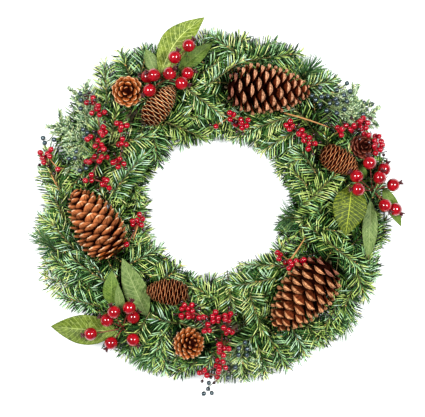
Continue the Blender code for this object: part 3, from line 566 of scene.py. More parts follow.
def brush(piece, path, count, keep, look, rng):
    """Needles all round a path, at the golden angle."""
    lean, fall, lean_vary, length, least, most, width, shade, light_rise, vary = BRUSHES[look]
    share = (np.arange(count) + rng.uniform(0, 0.8, count)) / count
    places, low = spread(path, share)
    along, side, across = spin_frames(path)
    turn = (np.arange(count) * GOLDEN + rng.uniform(-0.3, 0.3, count))[:, None]
    out = side[low] * np.cos(turn) + across[low] * np.sin(turn)
    lean = np.radians(lean - fall * share + rng.normal(0, lean_vary, count))
    sizes = length * rng.uniform(least, most, count)
    # painted light: needles that point up and lie further along the shoot are paler
    shades = shade + light_rise * out[:, 2] + light_rise * share + rng.normal(0, vary, count)
    needles(piece, keep, places, along[low], out, lean, sizes, width, look, shades, rng)


# Fir

def whorls(path, rng):
    """Shares, places, ways ahead and ways out of a fir twig's needles."""
    angles = [angle for angle, _, _ in FIR_ROWS]
    count = max(3, int(np.linalg.norm(np.diff(path, axis=0), axis=1).sum() / FIR_PITCH))
    share = np.repeat((np.arange(count) + 0.5) / count, len(angles))
    share = np.clip(share + rng.normal(0, 0.13 / count, len(share)), 0, 1)
    places, low = spread(path, share)
    along = unit(np.gradient(path, axis=0))
    side = unit(np.cross(along, UP))
    up = np.cross(side, along)
    turn = np.radians(np.tile(angles, count) + rng.normal(0, 6, len(share)))[:, None]
    return share, places, along[low], side[low] * np.cos(turn) + up[low] * np.sin(turn)


def shade_depths(places):
    """How deep places lie below the foliage's top, from 0 to 1, and always 0 at its edges: the weight of
    the painted shade on the needles.
    """
    radius = np.hypot(places[:, 0], places[:, 1])
    inside = np.clip(1.25 - 1.25 * ((radius - RING_RADIUS) / CROWN_HALF) ** 2, 0, 1)
    return np.clip((crown(radius) - places[:, 2] - 6 * MM) / SHADE_DEPTH, 0, 1) * inside


def fir_twig(piece, path, tone, keep, rng):
    """One fir twig: its stem, whorls of needles that lean ahead, a blunt tip and buds."""
    path = duck(path, keep)
    share, places, along, out = whorls(path, rng)
    count = len(share)
    # painted shade by row: the rows that point down are much darker
    _, row_shades, lengths = np.tile(np.array(FIR_ROWS).T, count // len(FIR_ROWS))
    lean = np.radians(FIR_LEAN - 12 * share**4 - 16 * (lengths < 1) + rng.normal(0, 2.2, count))
    sizes = FIR_NEEDLE * lengths * (1 - 0.12 * share**4) * rng.uniform(0.88, 1.06, count)
    own = np.where(rng.random(count) < PALE_SHARE, PALE_TONE, DARK_TONE)
    # painted shade: the needles that lie deep in the foliage are darker
    shades = tone + row_shades - DEPTH_SHADE * shade_depths(places) + own + rng.normal(0, 0.09, count)
    cool = rng.random(count) < rng.choice(COOL_SHARES)
    tuft = 2 * len(FIR_ROWS)
    lean[-tuft:] = np.radians(rng.uniform(12, 44, tuft))
    sizes[-tuft:] *= 0.8
    shades[-tuft:] += 0.12
    shades = (2 * np.floor(np.clip(shades, 0, 0.99) * LANES / 2) + cool + 0.5) / LANES
    needles(piece, keep, places, along, out, lean, sizes, FIR_WIDTH, "fir", shades, rng)
    stem = np.concatenate((path[:-1:2], path[-1:]))
    taper(piece, stem, 0.9, 0.55, 4, "twig", rng.uniform(0, 0.9))
    fir_buds(piece, path, along[-1], keep, rng)


def fir_buds(piece, path, ahead, keep, rng):
    """The buds of a twig: one at the tip of every second twig or so, and some along it."""
    if keep.clear(path[-1:]).all() and rng.random() < 0.5:
        bud(piece, path[-1], ahead, 1.5 * MM, rng)
    for place in rng.integers(len(path) // 3, len(path) - 1, SIDE_BUDS):
        if keep.clear(path[place:place + 1]).all():
            bud(piece, path[place], unit(np.array((*rng.normal(0, 0.6, 2), 1.0))), 1.1 * MM, rng)


def bud(piece, foot, way, radius, rng):
    """A small pointed bud."""
    steps = np.array((0.0, 1.5, 3.6))[:, None]
    path = foot + way * (steps - 0.6) * radius
    tube(piece, path, np.array((0.5, 1.0, 0.15)) * radius, 4, "bud", rng.uniform(0, 0.9))


def duck(path, keep):
    """The path, lowered where it would cross a cone, a berry or a leaf."""
    path = path.copy()
    for _ in range(DUCK_STEPS):
        path[~keep.clear(path), 2] -= DUCK_STEP
    path[:, 2] = np.maximum(path[:, 2], FLOOR + 4 * MM)
    for _ in range(2):
        path[1:-1] = (path[:-2] + 2 * path[1:-1] + path[2:]) / 4
    return path


def bulge(angle, bulges):
    """The sum of bulges at an angle, each a bell of its size in thousandths."""
    found = 0.0
    for middle, half, size in bulges:
        off = (angle - middle + 180) % 360 - 180
        found += size * MM * math.exp(-((off / half) ** 2))
    return found


def layer_twigs():
    """The twigs of the layers, as (sector, points, tone)."""
    found = []
    for row, (count, tip_r, tip_z, mid_r, mid_z, swirl, vary, tone) in enumerate(FIR_LAYERS):
        rng = np.random.default_rng(SEED + row)
        for place in range(count):
            angle = (place + 0.5 + 0.37 * row + rng.uniform(-0.15, 0.15)) * 360 / count
            turn = swirl * (1 if rng.random() < 0.86 else -1) + rng.normal(0, vary)
            end = angle + turn
            grow = rng.uniform(-8, 6) * MM
            if tip_z < EDGE_HEIGHT:
                outer = tip_r * MM > RING_RADIUS
                grow += bulge(end, OUTER_BULGES) if outer else -bulge(end, INNER_BULGES)
            tip = ring_point(end, tip_r * MM + grow, (tip_z + rng.uniform(-5, 5)) * MM)
            middle = ring_point(angle + turn * 0.4, mid_r * MM, (mid_z + rng.uniform(-4, 4)) * MM)
            path = bend_line(ring_point(angle), middle, tip, 14)
            radius = np.hypot(path[:, 0], path[:, 1])
            outside = np.hypot(radius - RING_RADIUS, path[:, 2] - CORE_Z) > CORE_RADIUS - 3 * MM
            first = max(0, int(np.argmax(outside)) - 1)
            path = path[first:][radius[first:] > HOLE_RADIUS + 3 * MM]
            cloud = 0.07 * math.sin(angle / 19 + row * 2.1) + rng.normal(0, 0.06)
            # painted light and shade by the twig's place round the ring, from the drifts
            found.append((sector_of(angle), path, LAYER_TONE + tone + (cloud + bulge(end, LIGHT_DRIFTS))))
    return found


def front_twigs():
    """The twigs that lie on top, as (sector, points, tone)."""
    found = []
    for x, y, end_x, end_y, tone in FRONT_TWIGS:
        places = ((x, y), ((x + end_x) / 2, (y + end_y) / 2), (end_x, end_y))
        points = [over_crown(*place, over * MM) for place, over in zip(places, FRONT_HEIGHTS)]
        found.append((sector_of(bearing((x, y))), bend_line(*points, 12), FRONT_TONE + tone / 100))
    return found


def wound_core(piece, sector, rng):
    """A stretch of the ring: a dark heart, the twigs' stems on it, and turns of binding wire."""
    start = sector * 360 / SECTORS
    end = start + 360 / SECTORS
    angles = np.linspace(start + 0.1, end - 0.1, 9)
    tube(piece, np.array([ring_point(a) for a in angles]), 14.2 * MM, 14, "bark", 0.2)
    stems = 16
    for k in range(stems):
        turns = math.tau * k / stems + rng.uniform(-0.1, 0.1) + 0.5 * (angles - start) / 25
        path = ring_section(angles, turns, 14.6 * MM + rng.uniform(0, 0.8) * MM)
        tube(piece, path, rng.uniform(1.4, 2.1) * MM, 6, "bark", rng.uniform(0, 0.9))
    windings = 5
    turns = np.linspace(0, math.tau, 19)
    for k in range(windings):
        first = start + (k + 0.5) * (end - start) / windings
        path = ring_section(first + 0.5 * turns / math.tau, turns, 16.6 * MM)
        tube(piece, path, 0.5 * MM, 5, "wire", 0.3)


def bare_stem(piece, start, end, over):
    """A tan stem that comes out of the foliage, lies over it and goes in again."""
    one, two = over_crown(*start, -STEM_SUNK), over_crown(*end, -STEM_SUNK)
    middle = (one + two) / 2 + np.array((0, 0, 2 * (over + 6) * MM))
    taper(piece, bend_line(one, middle, two, 10), 1.5, 0.9, 7, "stem_tan")


def fir_bunches(keep):
    """All fourteen bunches of fir."""
    twigs = layer_twigs() + front_twigs()
    for sector in range(SECTORS):
        rng = np.random.default_rng(SEED * 100 + sector)
        piece = Piece(f"fir_{sector + 1:02d}", "fir")
        wound_core(piece, sector, rng)
        for own, path, tone in twigs:
            if own == sector:
                fir_twig(piece, path, tone, keep, rng)
        for start, end, over in BARE_STEMS:
            if sector_of(bearing(start)) == sector:
                bare_stem(piece, start, end, over)
        piece.finish(f"fir_bunch_{sector + 1:02d}")


# The wire frame

def wire_ring(piece, radius):
    """A round wire bent to a ring."""
    angles = np.linspace(0, 360, WIRE_STEPS + 1)[:-1]
    turns = np.arange(WIRE_SIDES) * math.tau / WIRE_SIDES
    around = np.tile(turns, WIRE_STEPS)
    points = ring_section(np.repeat(angles, WIRE_SIDES), around, WIRE_RADIUS, radius, WIRE_Z)
    faces = ring_faces(WIRE_STEPS + 1, WIRE_SIDES) % len(points)
    places = np.stack((np.repeat(angles / 360, WIRE_SIDES), np.abs(around / math.pi - 1)), -1)
    piece.add(points, faces[:, ::-1], places, "wire")


def squared(value):
    """A cosine or a sine, for a round that is nearly square."""
    return math.copysign(abs(value) ** 0.12, value)


def strip(piece, angle):
    """A flat strip with soft corners and edges, across the rings at an angle."""
    long, wide, thick = STRIP_SIZE
    levels = ((0, STRIP_EDGE), (STRIP_EDGE, 0), (thick - STRIP_EDGE, 0), (thick, STRIP_EDGE))
    flat = np.array([
        (squared(math.cos(t)) * (long / 2 - inset), squared(math.sin(t)) * (wide / 2 - inset), height)
        for height, inset in levels
        for t in np.arange(STRIP_SIDES) * math.tau / STRIP_SIDES
    ] + [(0, 0, 0), (0, 0, thick)])
    turn = math.radians(angle)
    x, y, z = flat.T
    out = x + RING_RADIUS
    points = np.stack((
        out * math.cos(turn) - y * math.sin(turn),
        out * math.sin(turn) + y * math.cos(turn),
        z,
    ), -1)
    places = (flat[:, :2] / long + 0.5).clip(0, 1)
    piece.add(points, closed_faces(4, STRIP_SIDES), places, "wire")


def wire_frame():
    """Two wire rings on three flat cross strips."""
    piece = Piece("frame", "wire")
    for radius in WIRE_RINGS:
        wire_ring(piece, radius)
    for angle in STRIP_ANGLES:
        strip(piece, angle)
    piece.finish("wire_frame")


# Cones

def sheet_faces(rows, cols):
    """Triangles of a closed sheet: a grid of points, the same grid below it, and its rim."""
    one = (np.arange(rows - 1)[:, None] * cols + np.arange(cols - 1)[None, :]).reshape(-1)
    over = np.stack((one, one + 1, one + cols + 1, one + cols), -1)
    rim = np.concatenate((
        np.arange(cols),
        np.arange(1, rows) * cols + cols - 1,
        (rows - 1) * cols + np.arange(cols - 2, -1, -1),
        np.arange(rows - 2, 0, -1) * cols,
    ))
    after = np.roll(rim, -1)
    half = rows * cols
    edge = np.stack((rim + half, after + half, after, rim), -1)
    quads = np.concatenate((over, over[:, ::-1] + half, edge))
    return np.concatenate((quads[:, (0, 1, 2)], quads[:, (0, 2, 3)]))


def closed_sheet(top, under, along, across):
    """Points, triangles and map places of a closed sheet. Its under side has the map's other half."""
    rows, cols, _ = top.shape
    points = np.concatenate((top.reshape(-1, 3), under.reshape(-1, 3)))
    far = np.tile(np.repeat(along, cols), 2)
    wide = np.tile(across, 2 * rows)
    wide[rows * cols:] += 0.5
    return points, sheet_faces(rows, cols), np.stack((far, wide), -1)


def scale_template(form):
    """One cone scale as a closed sheet: x across, y along from 0 to 1, z out of the face."""
    keel, fall, round_off, fold, _, stations = SCALES[form]
    y, width, lift, thick, cup = (np.array(stations) / 100).T[:, :, None]
    v = np.linspace(-1, 1, SCALE_COLUMNS)[None, :]
    along = y * (1 - round_off * v**2 * y**6)
    rim = 1 - np.abs(v) ** fall
    hump = 0.5 * (1 - v**2) + 0.5 * np.exp(-((v / 0.2) ** 2))
    ridge = keel * np.exp(-(((y - 0.88) / 0.07) ** 2)) * hump
    middle = lift + cup * np.abs(v) ** fold
    across = width * v * 0.5
    top = np.stack((across, along, middle + thick * 0.5 * rim + ridge), -1)
    bottom = np.stack((across, along, middle - thick * 0.5 * (0.25 + 0.75 * rim)), -1)
    return closed_sheet(top, bottom, y, (v[0] + 1) * 0.24)


def swell(share, widest):
    """A cone's outline: its radius, as a share of the widest, along its length."""
    if share < widest:
        return math.sqrt(max(0.0, 1 - (1 - share / widest) ** 2))
    return max(0.0, 1 - ((share - widest) / (1 - widest)) ** 2) ** 0.6


def scale_stand(base, axis, length, out, end, reach, lean, size):
    """A scale's foot, its length, the way to its lip and its upper side."""
    lip = base + axis * (end * length) + out * reach
    run = max(reach / math.sin(lean), 0.6 * size)
    foot = base + axis * max(0.01 * length, end * length - math.sqrt(run * run - reach * reach))
    run = np.linalg.norm(lip - foot)
    way = (lip - foot) / run
    normal = unit(np.cross(way, np.cross(axis, out)))
    if np.dot(normal, out) < 0:
        normal = -normal
    return foot, run, way, normal


def scaled_cone(piece, rng, base, tip, radius, look, form, count, lean_first, lean_last, size, widest):
    """A cone of scales on a spiral, each leaning ahead by an angle that falls towards the tip."""
    size *= MM
    axis = unit(tip - base)
    length = float(np.linalg.norm(tip - base))
    side, across = two_sides(axis, (0.2, 0.3, 0.93) if abs(axis[2]) < 0.9 else (1.0, 0, 0))
    points, faces, places = scale_template(form)
    *_, least, _ = SCALES[form]
    heart = [base + axis * length * s for s in np.linspace(0.02, 0.88, 12)]
    thin = [max(0.04, 0.5 * swell(0.02 + 0.96 * s, widest)) * radius for s in np.linspace(0, 1, 12)]
    # a near black heart: painted shade seen through the gaps between the scales
    tube(piece, np.array(heart), thin, 12, f"cone_{look}_dark", 0.2)
    for k in range(count):
        part = (k + 0.5) / count
        end = 0.03 + 0.96 * part**0.92
        reach = radius * max(least, swell(end, widest)) * rng.uniform(0.96, 1.04)
        lean = math.radians(lean_first + (lean_last - lean_first) * part**1.5 + rng.uniform(-6, 6))
        turn = -k * GOLDEN + rng.uniform(-0.06, 0.06)
        out = side * math.cos(turn) + across * math.sin(turn)
        foot, run, way, normal = scale_stand(base, axis, length, out, end, reach, lean, size)
        wide = size * (0.55 + 0.45 * reach / radius) * (1 if part < 0.9 else 0.8)
        local = foot + (
            points[:, :1] * wide * np.cross(way, normal)
            + points[:, 1:2] * run * way
            + points[:, 2:] * wide * normal
        )
        own = BASE_LOOKS.get(look, look) if part < BASE_SHARE else look
        far = (places[:, 0] + rng.integers(0, CONE_VERSIONS)) / CONE_VERSIONS
        piece.add(local, faces, np.stack((far, places[:, 1]), -1), "cone_" + own)


def cones():
    """All nine cones, each with its wire stem."""
    for step, _, kind in CONES:
        for k, (name, (base, tip, radius, *scales)) in enumerate(kind.items()):
            rng = np.random.default_rng(SEED + step * k)
            piece = Piece("cone_fine_" + name, "cone")
            base, tip = mm(base), mm(tip)
            scaled_cone(piece, rng, base, tip, radius * MM, *scales)
            ahead = unit(tip - base) * 8 * MM
            tube(piece, bend_line(seat_below(base), base - ahead, base + ahead, 8), 1.6 * MM, 8, "bark")
            piece.finish("cone_" + name)


# Leaves and berries

def leaf_line(base, tip, width, arch, look, count):
    """A leaf's middle line, half widths, sides and ups, from base to tip."""
    along = tip - base
    share = np.linspace(0, 1, count)
    side = unit(np.cross(UP, along))
    up = unit(np.cross(along, side))
    half = np.maximum(width / 2 * np.sin(math.pi * share**0.85) ** 0.9, 0.35 * MM)
    bent = arch * up + LEAF_BOWS.get(look, 0.0) * side
    line = base + along * share[:, None] + bent * np.sin(math.pi * share)[:, None]
    return line, half, side, up


def leaf(piece, foot, base, tip, width, arch, look, version, rng):
    """A leaf: a blade folded along its rib, with a waved edge, and its petiole."""
    line, half, side, up = leaf_line(base, tip, width, arch, look, LEAF_ROWS)
    half = half[:, None]
    v = np.linspace(-1, 1, LEAF_COLUMNS)[None]
    wing = np.abs(v)
    share = np.linspace(0, 1, LEAF_ROWS)[:, None]
    wave = np.sin(share * 17 + rng.uniform(0, math.tau) + v * 1.2) * wing**2 * half * 0.055
    fold = LEAF_FOLD * half * wing**1.3
    veins = 0.012 * half * np.sin((share * LEAF_VEINS - wing * 2.2) * math.tau)
    rib = np.exp(-((v / 0.08) ** 2)) * 0.5 * MM * (1 - share)
    height = wave + fold + veins * (1 - wing) - rib
    sheet = line[:, None] + side * (half * v)[:, :, None] + up * height[:, :, None]
    thick = LEAF_THICK * (1 - 0.6 * wing[:, :, None] ** 4)
    under = sheet - up * (thick + (rib * 1.6)[:, :, None])
    points, faces, places = closed_sheet(sheet, under, share, (v[0] + 1) / 4)
    places = places.clip(0.002, 0.998)
    places[:, 1] = (places[:, 1] + version) / LEAF_VERSIONS
    piece.add(points, faces, places, look)
    knee = base - unit(tip - base) * 6 * MM
    taper(piece, bend_line(foot, knee, base + (tip - base) * 0.05, 8), 1.5, 0.8, 7, "stem_green")


def ball(piece, centre, axis, radius, sides, rows, look, version=0):
    """A berry: a ball whose poles lie on its stalk's line, in one version of its skin."""
    axis = unit(np.asarray(axis, float))
    side, across = two_sides(axis, (0.3, 0.5, 0.81))
    down = np.linspace(0, math.pi, rows + 1)[1:-1]
    ring = spokes(side[None], across[None], sides)
    fall, spare = np.cos(down)[:, None, None], np.sin(down)[:, None, None]
    points = (centre - axis * (fall * radius) + ring * spare * radius).reshape(-1, 3)
    points = np.concatenate((points, [centre - axis * radius, centre + axis * radius]))
    places = np.empty((len(points), 2))
    places[:-2, 0] = np.repeat(down / math.pi, sides)
    places[:-2, 1] = np.tile(np.abs(2 * np.arange(sides) / sides - 1), rows - 1)
    places[-2:] = (0, 0.5), (1, 0.5)
    places[:, 1] = (version % BERRY_VERSIONS + 0.96 * places[:, 1]) / BERRY_VERSIONS
    piece.add(points, closed_faces(rows - 1, sides), places, look)


def picks():
    """The leaves and the large berries of the three picks."""
    for k, (name, (middle, leaves, berries)) in enumerate(PICKS.items()):
        rng = np.random.default_rng(SEED + 13 * k)
        middle = mm(middle)
        seat = seat_below(middle)
        piece = Piece(name + "_foliage", "leaf")
        tube(piece, np.array((seat, (seat + middle) / 2, middle)), 1.8 * MM, 8, "stem_green")
        for index, (base, tip, width, arch, look) in enumerate(leaves):
            foot = middle + (seat - middle) * (0.12 + 0.12 * index)
            leaf(piece, foot, mm(base), mm(tip), width * MM, arch * MM, look, index, rng)
        piece.finish(name + "_leaves")
        piece = Piece(name + "_fruit", "red")
        hub = middle + mm((0, 0, 8))
        path = np.array((seat + 3 * MM * unit(hub - seat), (seat + hub) / 2, hub))
        tube(piece, path, 1.5 * MM, 8, "stem_red")
        for version, place in enumerate(berries):
            large_berry(piece, hub, mm(place), version, rng)
        piece.finish(name + "_berries")


def large_berry(piece, hub, centre, version, rng):
    """A large berry on its stalk, with the dried crown of its flower."""
    end = centre - unit(centre - hub) * LARGE_BERRY * 0.9
    knee = (hub + end) / 2 + mm((0, 0, 3)) + rng.normal(0, 1.2 * MM, 3)
    taper(piece, bend_line(hub, knee, end, 8), 0.9, 0.75, 6, "stem_red")
    axis = unit((centre - hub) * (1, 1, 0.2))
    ball(piece, centre, axis, LARGE_BERRY, 28, 18, "berry_large", version)
    side, across = two_sides(axis, (0.1, 0.3, 0.95))
    top = centre + axis * LARGE_BERRY * 0.93
    tube(piece, np.array((top, top + axis * 2.2 * MM)), mm((3.0, 2.4)), 10, "calyx")
    teeth = 6
    for k in range(teeth):
        turn = math.tau * k / teeth + rng.uniform(-0.2, 0.2)
        out = side * math.cos(turn) + across * math.sin(turn)
        flare = rng.uniform(0.6, 1.2)
        foot = top + (out * 1.6 + axis * 1.2) * MM
        middle = foot + (axis * 2.8 + out * 1.5 * flare) * MM
        end = middle + (axis * 2.5 + out * 2.5 * flare) * MM
        tube(piece, np.array((foot, middle, end)), mm((1.4, 1.3, 0.2)), 5, "calyx")


def bunch(middle, count, size, loose, rng):
    """Places of berries that touch each other in a loose heap round a point."""
    turn = np.arange(count) * GOLDEN + rng.uniform(0, math.tau)
    far = np.sqrt((np.arange(count) + 0.3) / count) * (size * loose * math.sqrt(count))
    places = np.stack((far * np.cos(turn), far * np.sin(turn), np.zeros(count)), -1)
    places += rng.normal(0, size * 0.3, places.shape)
    places[:, 2] += rng.normal(0, size * 1.3, count)
    for _ in range(30):
        gap = places[:, None] - places[None]
        away = np.linalg.norm(gap, axis=-1) + np.eye(count)
        push = np.clip(size * 2.0 - away, 0, None) * (1 - np.eye(count))
        places += (gap / away[..., None] * push[..., None]).sum(1) * 0.4
    return places + middle


def small_berry(piece, hub, place, size, look, stalk, version, rng):
    """A small berry on its stalk, with the nib of its flower."""
    way = unit(place - hub)
    knee = (hub + place) / 2 + rng.normal(0, 1.0 * MM, 3)
    tube(piece, bend_line(hub, knee, place - way * size * 0.8, 5), 0.55 * MM, 5, stalk)
    axis = unit(way * (1, 1, 0.2))
    ball(piece, place, axis, size * rng.uniform(0.92, 1.04), 14, 9, look, version)
    nib = np.array((place + axis * size * 0.9, place + axis * size * 1.12))
    tube(piece, nib, mm((0.9, 0.5)), 6, "calyx")


def beads(piece, hub, middle, count, size, cover, keep, rng):
    """Small dark beads round a bunch of berries."""
    for _ in range(1 + count // 3):
        turn = rng.uniform(0, math.tau)
        far = size * (0.9 + 1.05 * math.sqrt(count))
        bead = middle + far * np.array((math.cos(turn), math.sin(turn), rng.uniform(-0.3, 0.3)))
        tube(piece, bend_line(hub, (hub + bead) / 2, bead, 4), 0.5 * MM, 5, "stem_red")
        ball(piece, bead, bead - hub, BEAD, 12, 8, "bead")
        keep.add_ball(bead, BEAD, cover)


def berry_bunch(piece, middle, count, look, keep, rng):
    """A bunch of small berries: the hub below it, where its stalks meet."""
    _, size, _, loose, stalk, cover = BERRY_KINDS[look]
    places = bunch(middle, count, size, loose, rng)
    hub = middle - np.array((rng.normal(0, 2) * MM, rng.normal(0, 2) * MM, size * 2.4))
    for version, place in enumerate(places):
        small_berry(piece, hub, place, size, look, stalk, version, rng)
        keep.add_ball(place, size, cover)
    if look == "berry_red":
        beads(piece, hub, middle, count, size, cover, keep, rng)
    return hub


def spray(name, look, stem, bunches, keep):
    """A spray: bunches of small berries, and a main stem that passes under each of them."""
    slot, _, over, *_ = BERRY_KINDS[look]
    rng = np.random.default_rng(sum(map(ord, name)))
    piece = Piece(name.replace("berries", "fruit"), slot)
    hubs = [berry_bunch(piece, over_crown(x, y, over), count, look, keep, rng) for x, y, count in bunches]
    seat = seat_below(hubs[0])
    path = bend_line(seat, (seat + hubs[0]) / 2, hubs[0], 6)
    for one, two in zip(hubs, hubs[1:]):
        middle = (one + two) / 2 + np.array((*rng.normal(0, 2 * MM, 2), 9 * MM))
        path = np.concatenate((path, bend_line(one, middle, two, 7)[1:]))
    taper(piece, path, 1.3, 0.8, 6, stem)
    piece.finish(name)


def sprays(keep):
    """All sprays of small berries."""
    for look, kind in SPRAYS.items():
        for name, (stem, bunches) in kind.items():
            spray(name, look, stem, bunches, keep)


# Pine and juniper

def pine_sprigs(keep):
    """Sprigs of long thin pine needles in a brush round the stem's end."""
    for k, (name, (bend, tip)) in enumerate(PINE_SPRIGS.items()):
        rng = np.random.default_rng(SEED + 17 * k)
        piece = Piece(name.replace("sprig", "brush"), "pine")
        bend, tip = mm(bend), mm(tip)
        path = bend_line(seat_below(bend), bend, tip - unit(tip - bend) * 8 * MM, 14)
        taper(piece, path, 1.5, 0.9, 6, "twig")
        brush(piece, path[5:], 120, keep, "pine", rng)
        piece.finish(name)


def juniper(keep):
    """Frosted juniper: short needles close round branches with side shoots."""
    for k, (name, branches) in enumerate(JUNIPER_SPRAYS.items()):
        rng = np.random.default_rng(SEED + 23 * k)
        piece = Piece(name + "_frost", "juniper")
        start = seat_below(mm(branches[0][0]))
        for number, (bend, tip) in enumerate(branches):
            bend, tip = mm(bend), mm(tip)
            path = bend_line(start, bend, tip - unit(tip - bend) * 12 * MM, 16)
            if number == 0:
                start = path[3]  # where the other branches leave the first one
            shoot(piece, path, 5, 200, keep, rng)
            side_shoots(piece, path, keep, rng)
        piece.finish(name)


def side_shoots(piece, path, keep, rng):
    """Pairs of short shoots along a branch."""
    for place in range(6, 15, 2):
        for hand in (-1, 1):
            ahead = unit(path[place] - path[place - 1])
            out = unit(np.cross(ahead, UP)) * hand
            lift = np.array((0, 0, rng.uniform(-0.1, 0.5)))
            way = unit(ahead * 0.9 + out * rng.uniform(0.6, 1.0) + lift)
            side = path[place] + way * np.linspace(0, rng.uniform(18, 32) * MM, 6)[:, None]
            side[:, 2] += np.linspace(0, 1, 6) ** 2 * rng.uniform(-4, 5) * MM
            shoot(piece, side, 0, 70, keep, rng)


def shoot(piece, path, first, count, keep, rng):
    """One shoot, with its short needles from one of its points on."""
    taper(piece, path, 0.9, 0.5, 5, "stem_green")
    brush(piece, path[first:], count, keep, "juniper", rng)


def fill_keep_out():
    """Everything that the needles keep clear of, apart from the small berries."""
    keep = KeepOut()
    for _, widest, kind in CONES:
        for base, tip, radius, *_ in kind.values():
            for share in np.linspace(0.04, 0.98, 14):
                centre = mm(base) + (mm(tip) - mm(base)) * share
                keep.add_ball(centre, radius * MM * max(0.2, swell(share, widest)) * 0.97, 0.93)
    for _, leaves, berries in PICKS.values():
        for base, tip, width, arch, look in leaves:
            line, half, _, _ = leaf_line(mm(base), mm(tip), width * MM, arch * MM, look, 16)
            keep.add_blade(line, half)
        for place in berries:
            keep.add_ball(mm(place), LARGE_BERRY, 0.97)
    return keep


# Materials

LOOKS = {}


def new_look(name, roughness, coat=0.0, specular=0.5, tint=(1, 1, 1), metallic=0.0):
    """A material with a Principled shader: its node tree."""
    made = bpy.data.materials.new(name)
    made.use_nodes = True
    inputs = made.node_tree.nodes["Principled BSDF"].inputs
    inputs["Roughness"].default_value = roughness
    inputs["Coat Weight"].default_value = coat
    inputs["Coat Roughness"].default_value = 0.14
    inputs["Specular IOR Level"].default_value = specular
    inputs["Specular Tint"].default_value = (*tint, 1)
    inputs["Metallic"].default_value = metallic
    LOOKS[name] = made
    return made.node_tree


def paint(tree, colour):
    """Gives the shader its colour."""
    tree.links.new(colour, tree.nodes["Principled BSDF"].inputs["Base Color"])


def feed(tree, socket, value):
    """Gives a socket a number, a colour or another socket."""
    if isinstance(value, bpy.types.NodeSocket):
        tree.links.new(value, socket)
    else:
        socket.default_value = value


def ramp(tree, source, stops, constant=False):
    """A colour ramp over a value. stops are (place, colour) or (place, grey), in order."""
    node = tree.nodes.new("ShaderNodeValToRGB")
    if constant:
        node.color_ramp.interpolation = "CONSTANT"
    items = node.color_ramp.elements
    items[0].position = stops[0][0]
    items[1].position = stops[-1][0]
    for place, _ in stops[1:-1]:
        items.new(place)
    for item, (_, colour) in zip(items, stops):
        item.color = (*np.broadcast_to(colour, 3), 1)
    tree.links.new(source, node.inputs["Fac"])
    return node.outputs["Color"]


def mixed(tree, kind, factor, one, two):
    """Two colours mixed by a factor."""
    node = tree.nodes.new("ShaderNodeMix")
    node.data_type = "RGBA"
    node.blend_type = kind
    feed(tree, node.inputs["Factor"], factor)
    feed(tree, node.inputs[6], one)
    feed(tree, node.inputs[7], two)
    return node.outputs[2]


def times(tree, *colours):
    """Colours multiplied with each other."""
    found = colours[0]
    for colour in colours[1:]:
        found = mixed(tree, "MULTIPLY", 1.0, found, colour)
    return found


def maths(tree, kind, one, two=0.5):
    """One sum over two values."""
    node = tree.nodes.new("ShaderNodeMath")
    node.operation = kind
    feed(tree, node.inputs[0], one)
    feed(tree, node.inputs[1], two)
    return node.outputs[0]


def repeat(tree, value, count):
    """How far on a value is within its own one of so many repeats."""
    return maths(tree, "FRACT", maths(tree, "MULTIPLY", value, count))


def away(tree, value, middle):
    """How far a value is from a middle."""
    return maths(tree, "ABSOLUTE", maths(tree, "SUBTRACT", value, middle))


def look_map(tree):
    """The piece's own map."""
    node = tree.nodes.new("ShaderNodeUVMap")
    node.uv_map = LOOK_MAP
    return node.outputs["UV"]


def map_place(tree):
    """How far along and how far across a point lies on the map."""
    split = tree.nodes.new("ShaderNodeSeparateXYZ")
    tree.links.new(look_map(tree), split.inputs[0])
    return split.outputs[0], split.outputs[1]


def grain(tree, along, across, detail):
    """Noise over the piece's map, with so many lumps along it and across it."""
    stretch = tree.nodes.new("ShaderNodeVectorMath")
    stretch.operation = "MULTIPLY"
    stretch.inputs[1].default_value = (along, across, 1)
    tree.links.new(look_map(tree), stretch.inputs[0])
    node = tree.nodes.new("ShaderNodeTexNoise")
    node.inputs["Scale"].default_value = 1
    node.inputs["Detail"].default_value = detail
    tree.links.new(stretch.outputs[0], node.inputs["Vector"])
    return node.outputs["Fac"]


def bump(tree, height, strength, distance):
    """A relief from a height."""
    node = tree.nodes.new("ShaderNodeBump")
    node.inputs["Strength"].default_value = strength
    node.inputs["Distance"].default_value = distance
    tree.links.new(height, node.inputs["Height"])
    tree.links.new(node.outputs["Normal"], tree.nodes["Principled BSDF"].inputs["Normal"])


def needle_look(name, shades, roughness, dark_foot, warm=1.0, cool=1.0):
    """Needles: one shade a lane, every second lane cooler, darker at the foot."""
    tree = new_look(name, roughness, 0, 0.3, (0.6, 0.9, 0.45))
    far, lane = map_place(tree)
    colour = ramp(tree, lane, [(k / (len(shades) - 1), shade) for k, shade in enumerate(shades)])
    lanes = ramp(tree, repeat(tree, lane, LANES / 2), [(0.0, warm), (0.5, cool)], True)
    foot = ramp(tree, far, [(0.0, dark_foot), (0.55, 1), (1.0, (1.18, 1.15, 1.05))])
    paint(tree, times(tree, colour, lanes, foot))


def stem_look(name, low, high, roughness, coat=0.0, relief=0.0, specular=0.5):
    """Two colours mixed by fine grain along a stem, with relief."""
    tree = new_look(name, roughness, coat, specular)
    fleck = grain(tree, 26, 3 * LANES, 4)
    paint(tree, ramp(tree, fleck, [(0.35, low), (0.65, high)]))
    if relief:
        bump(tree, fleck, 0.5, relief)


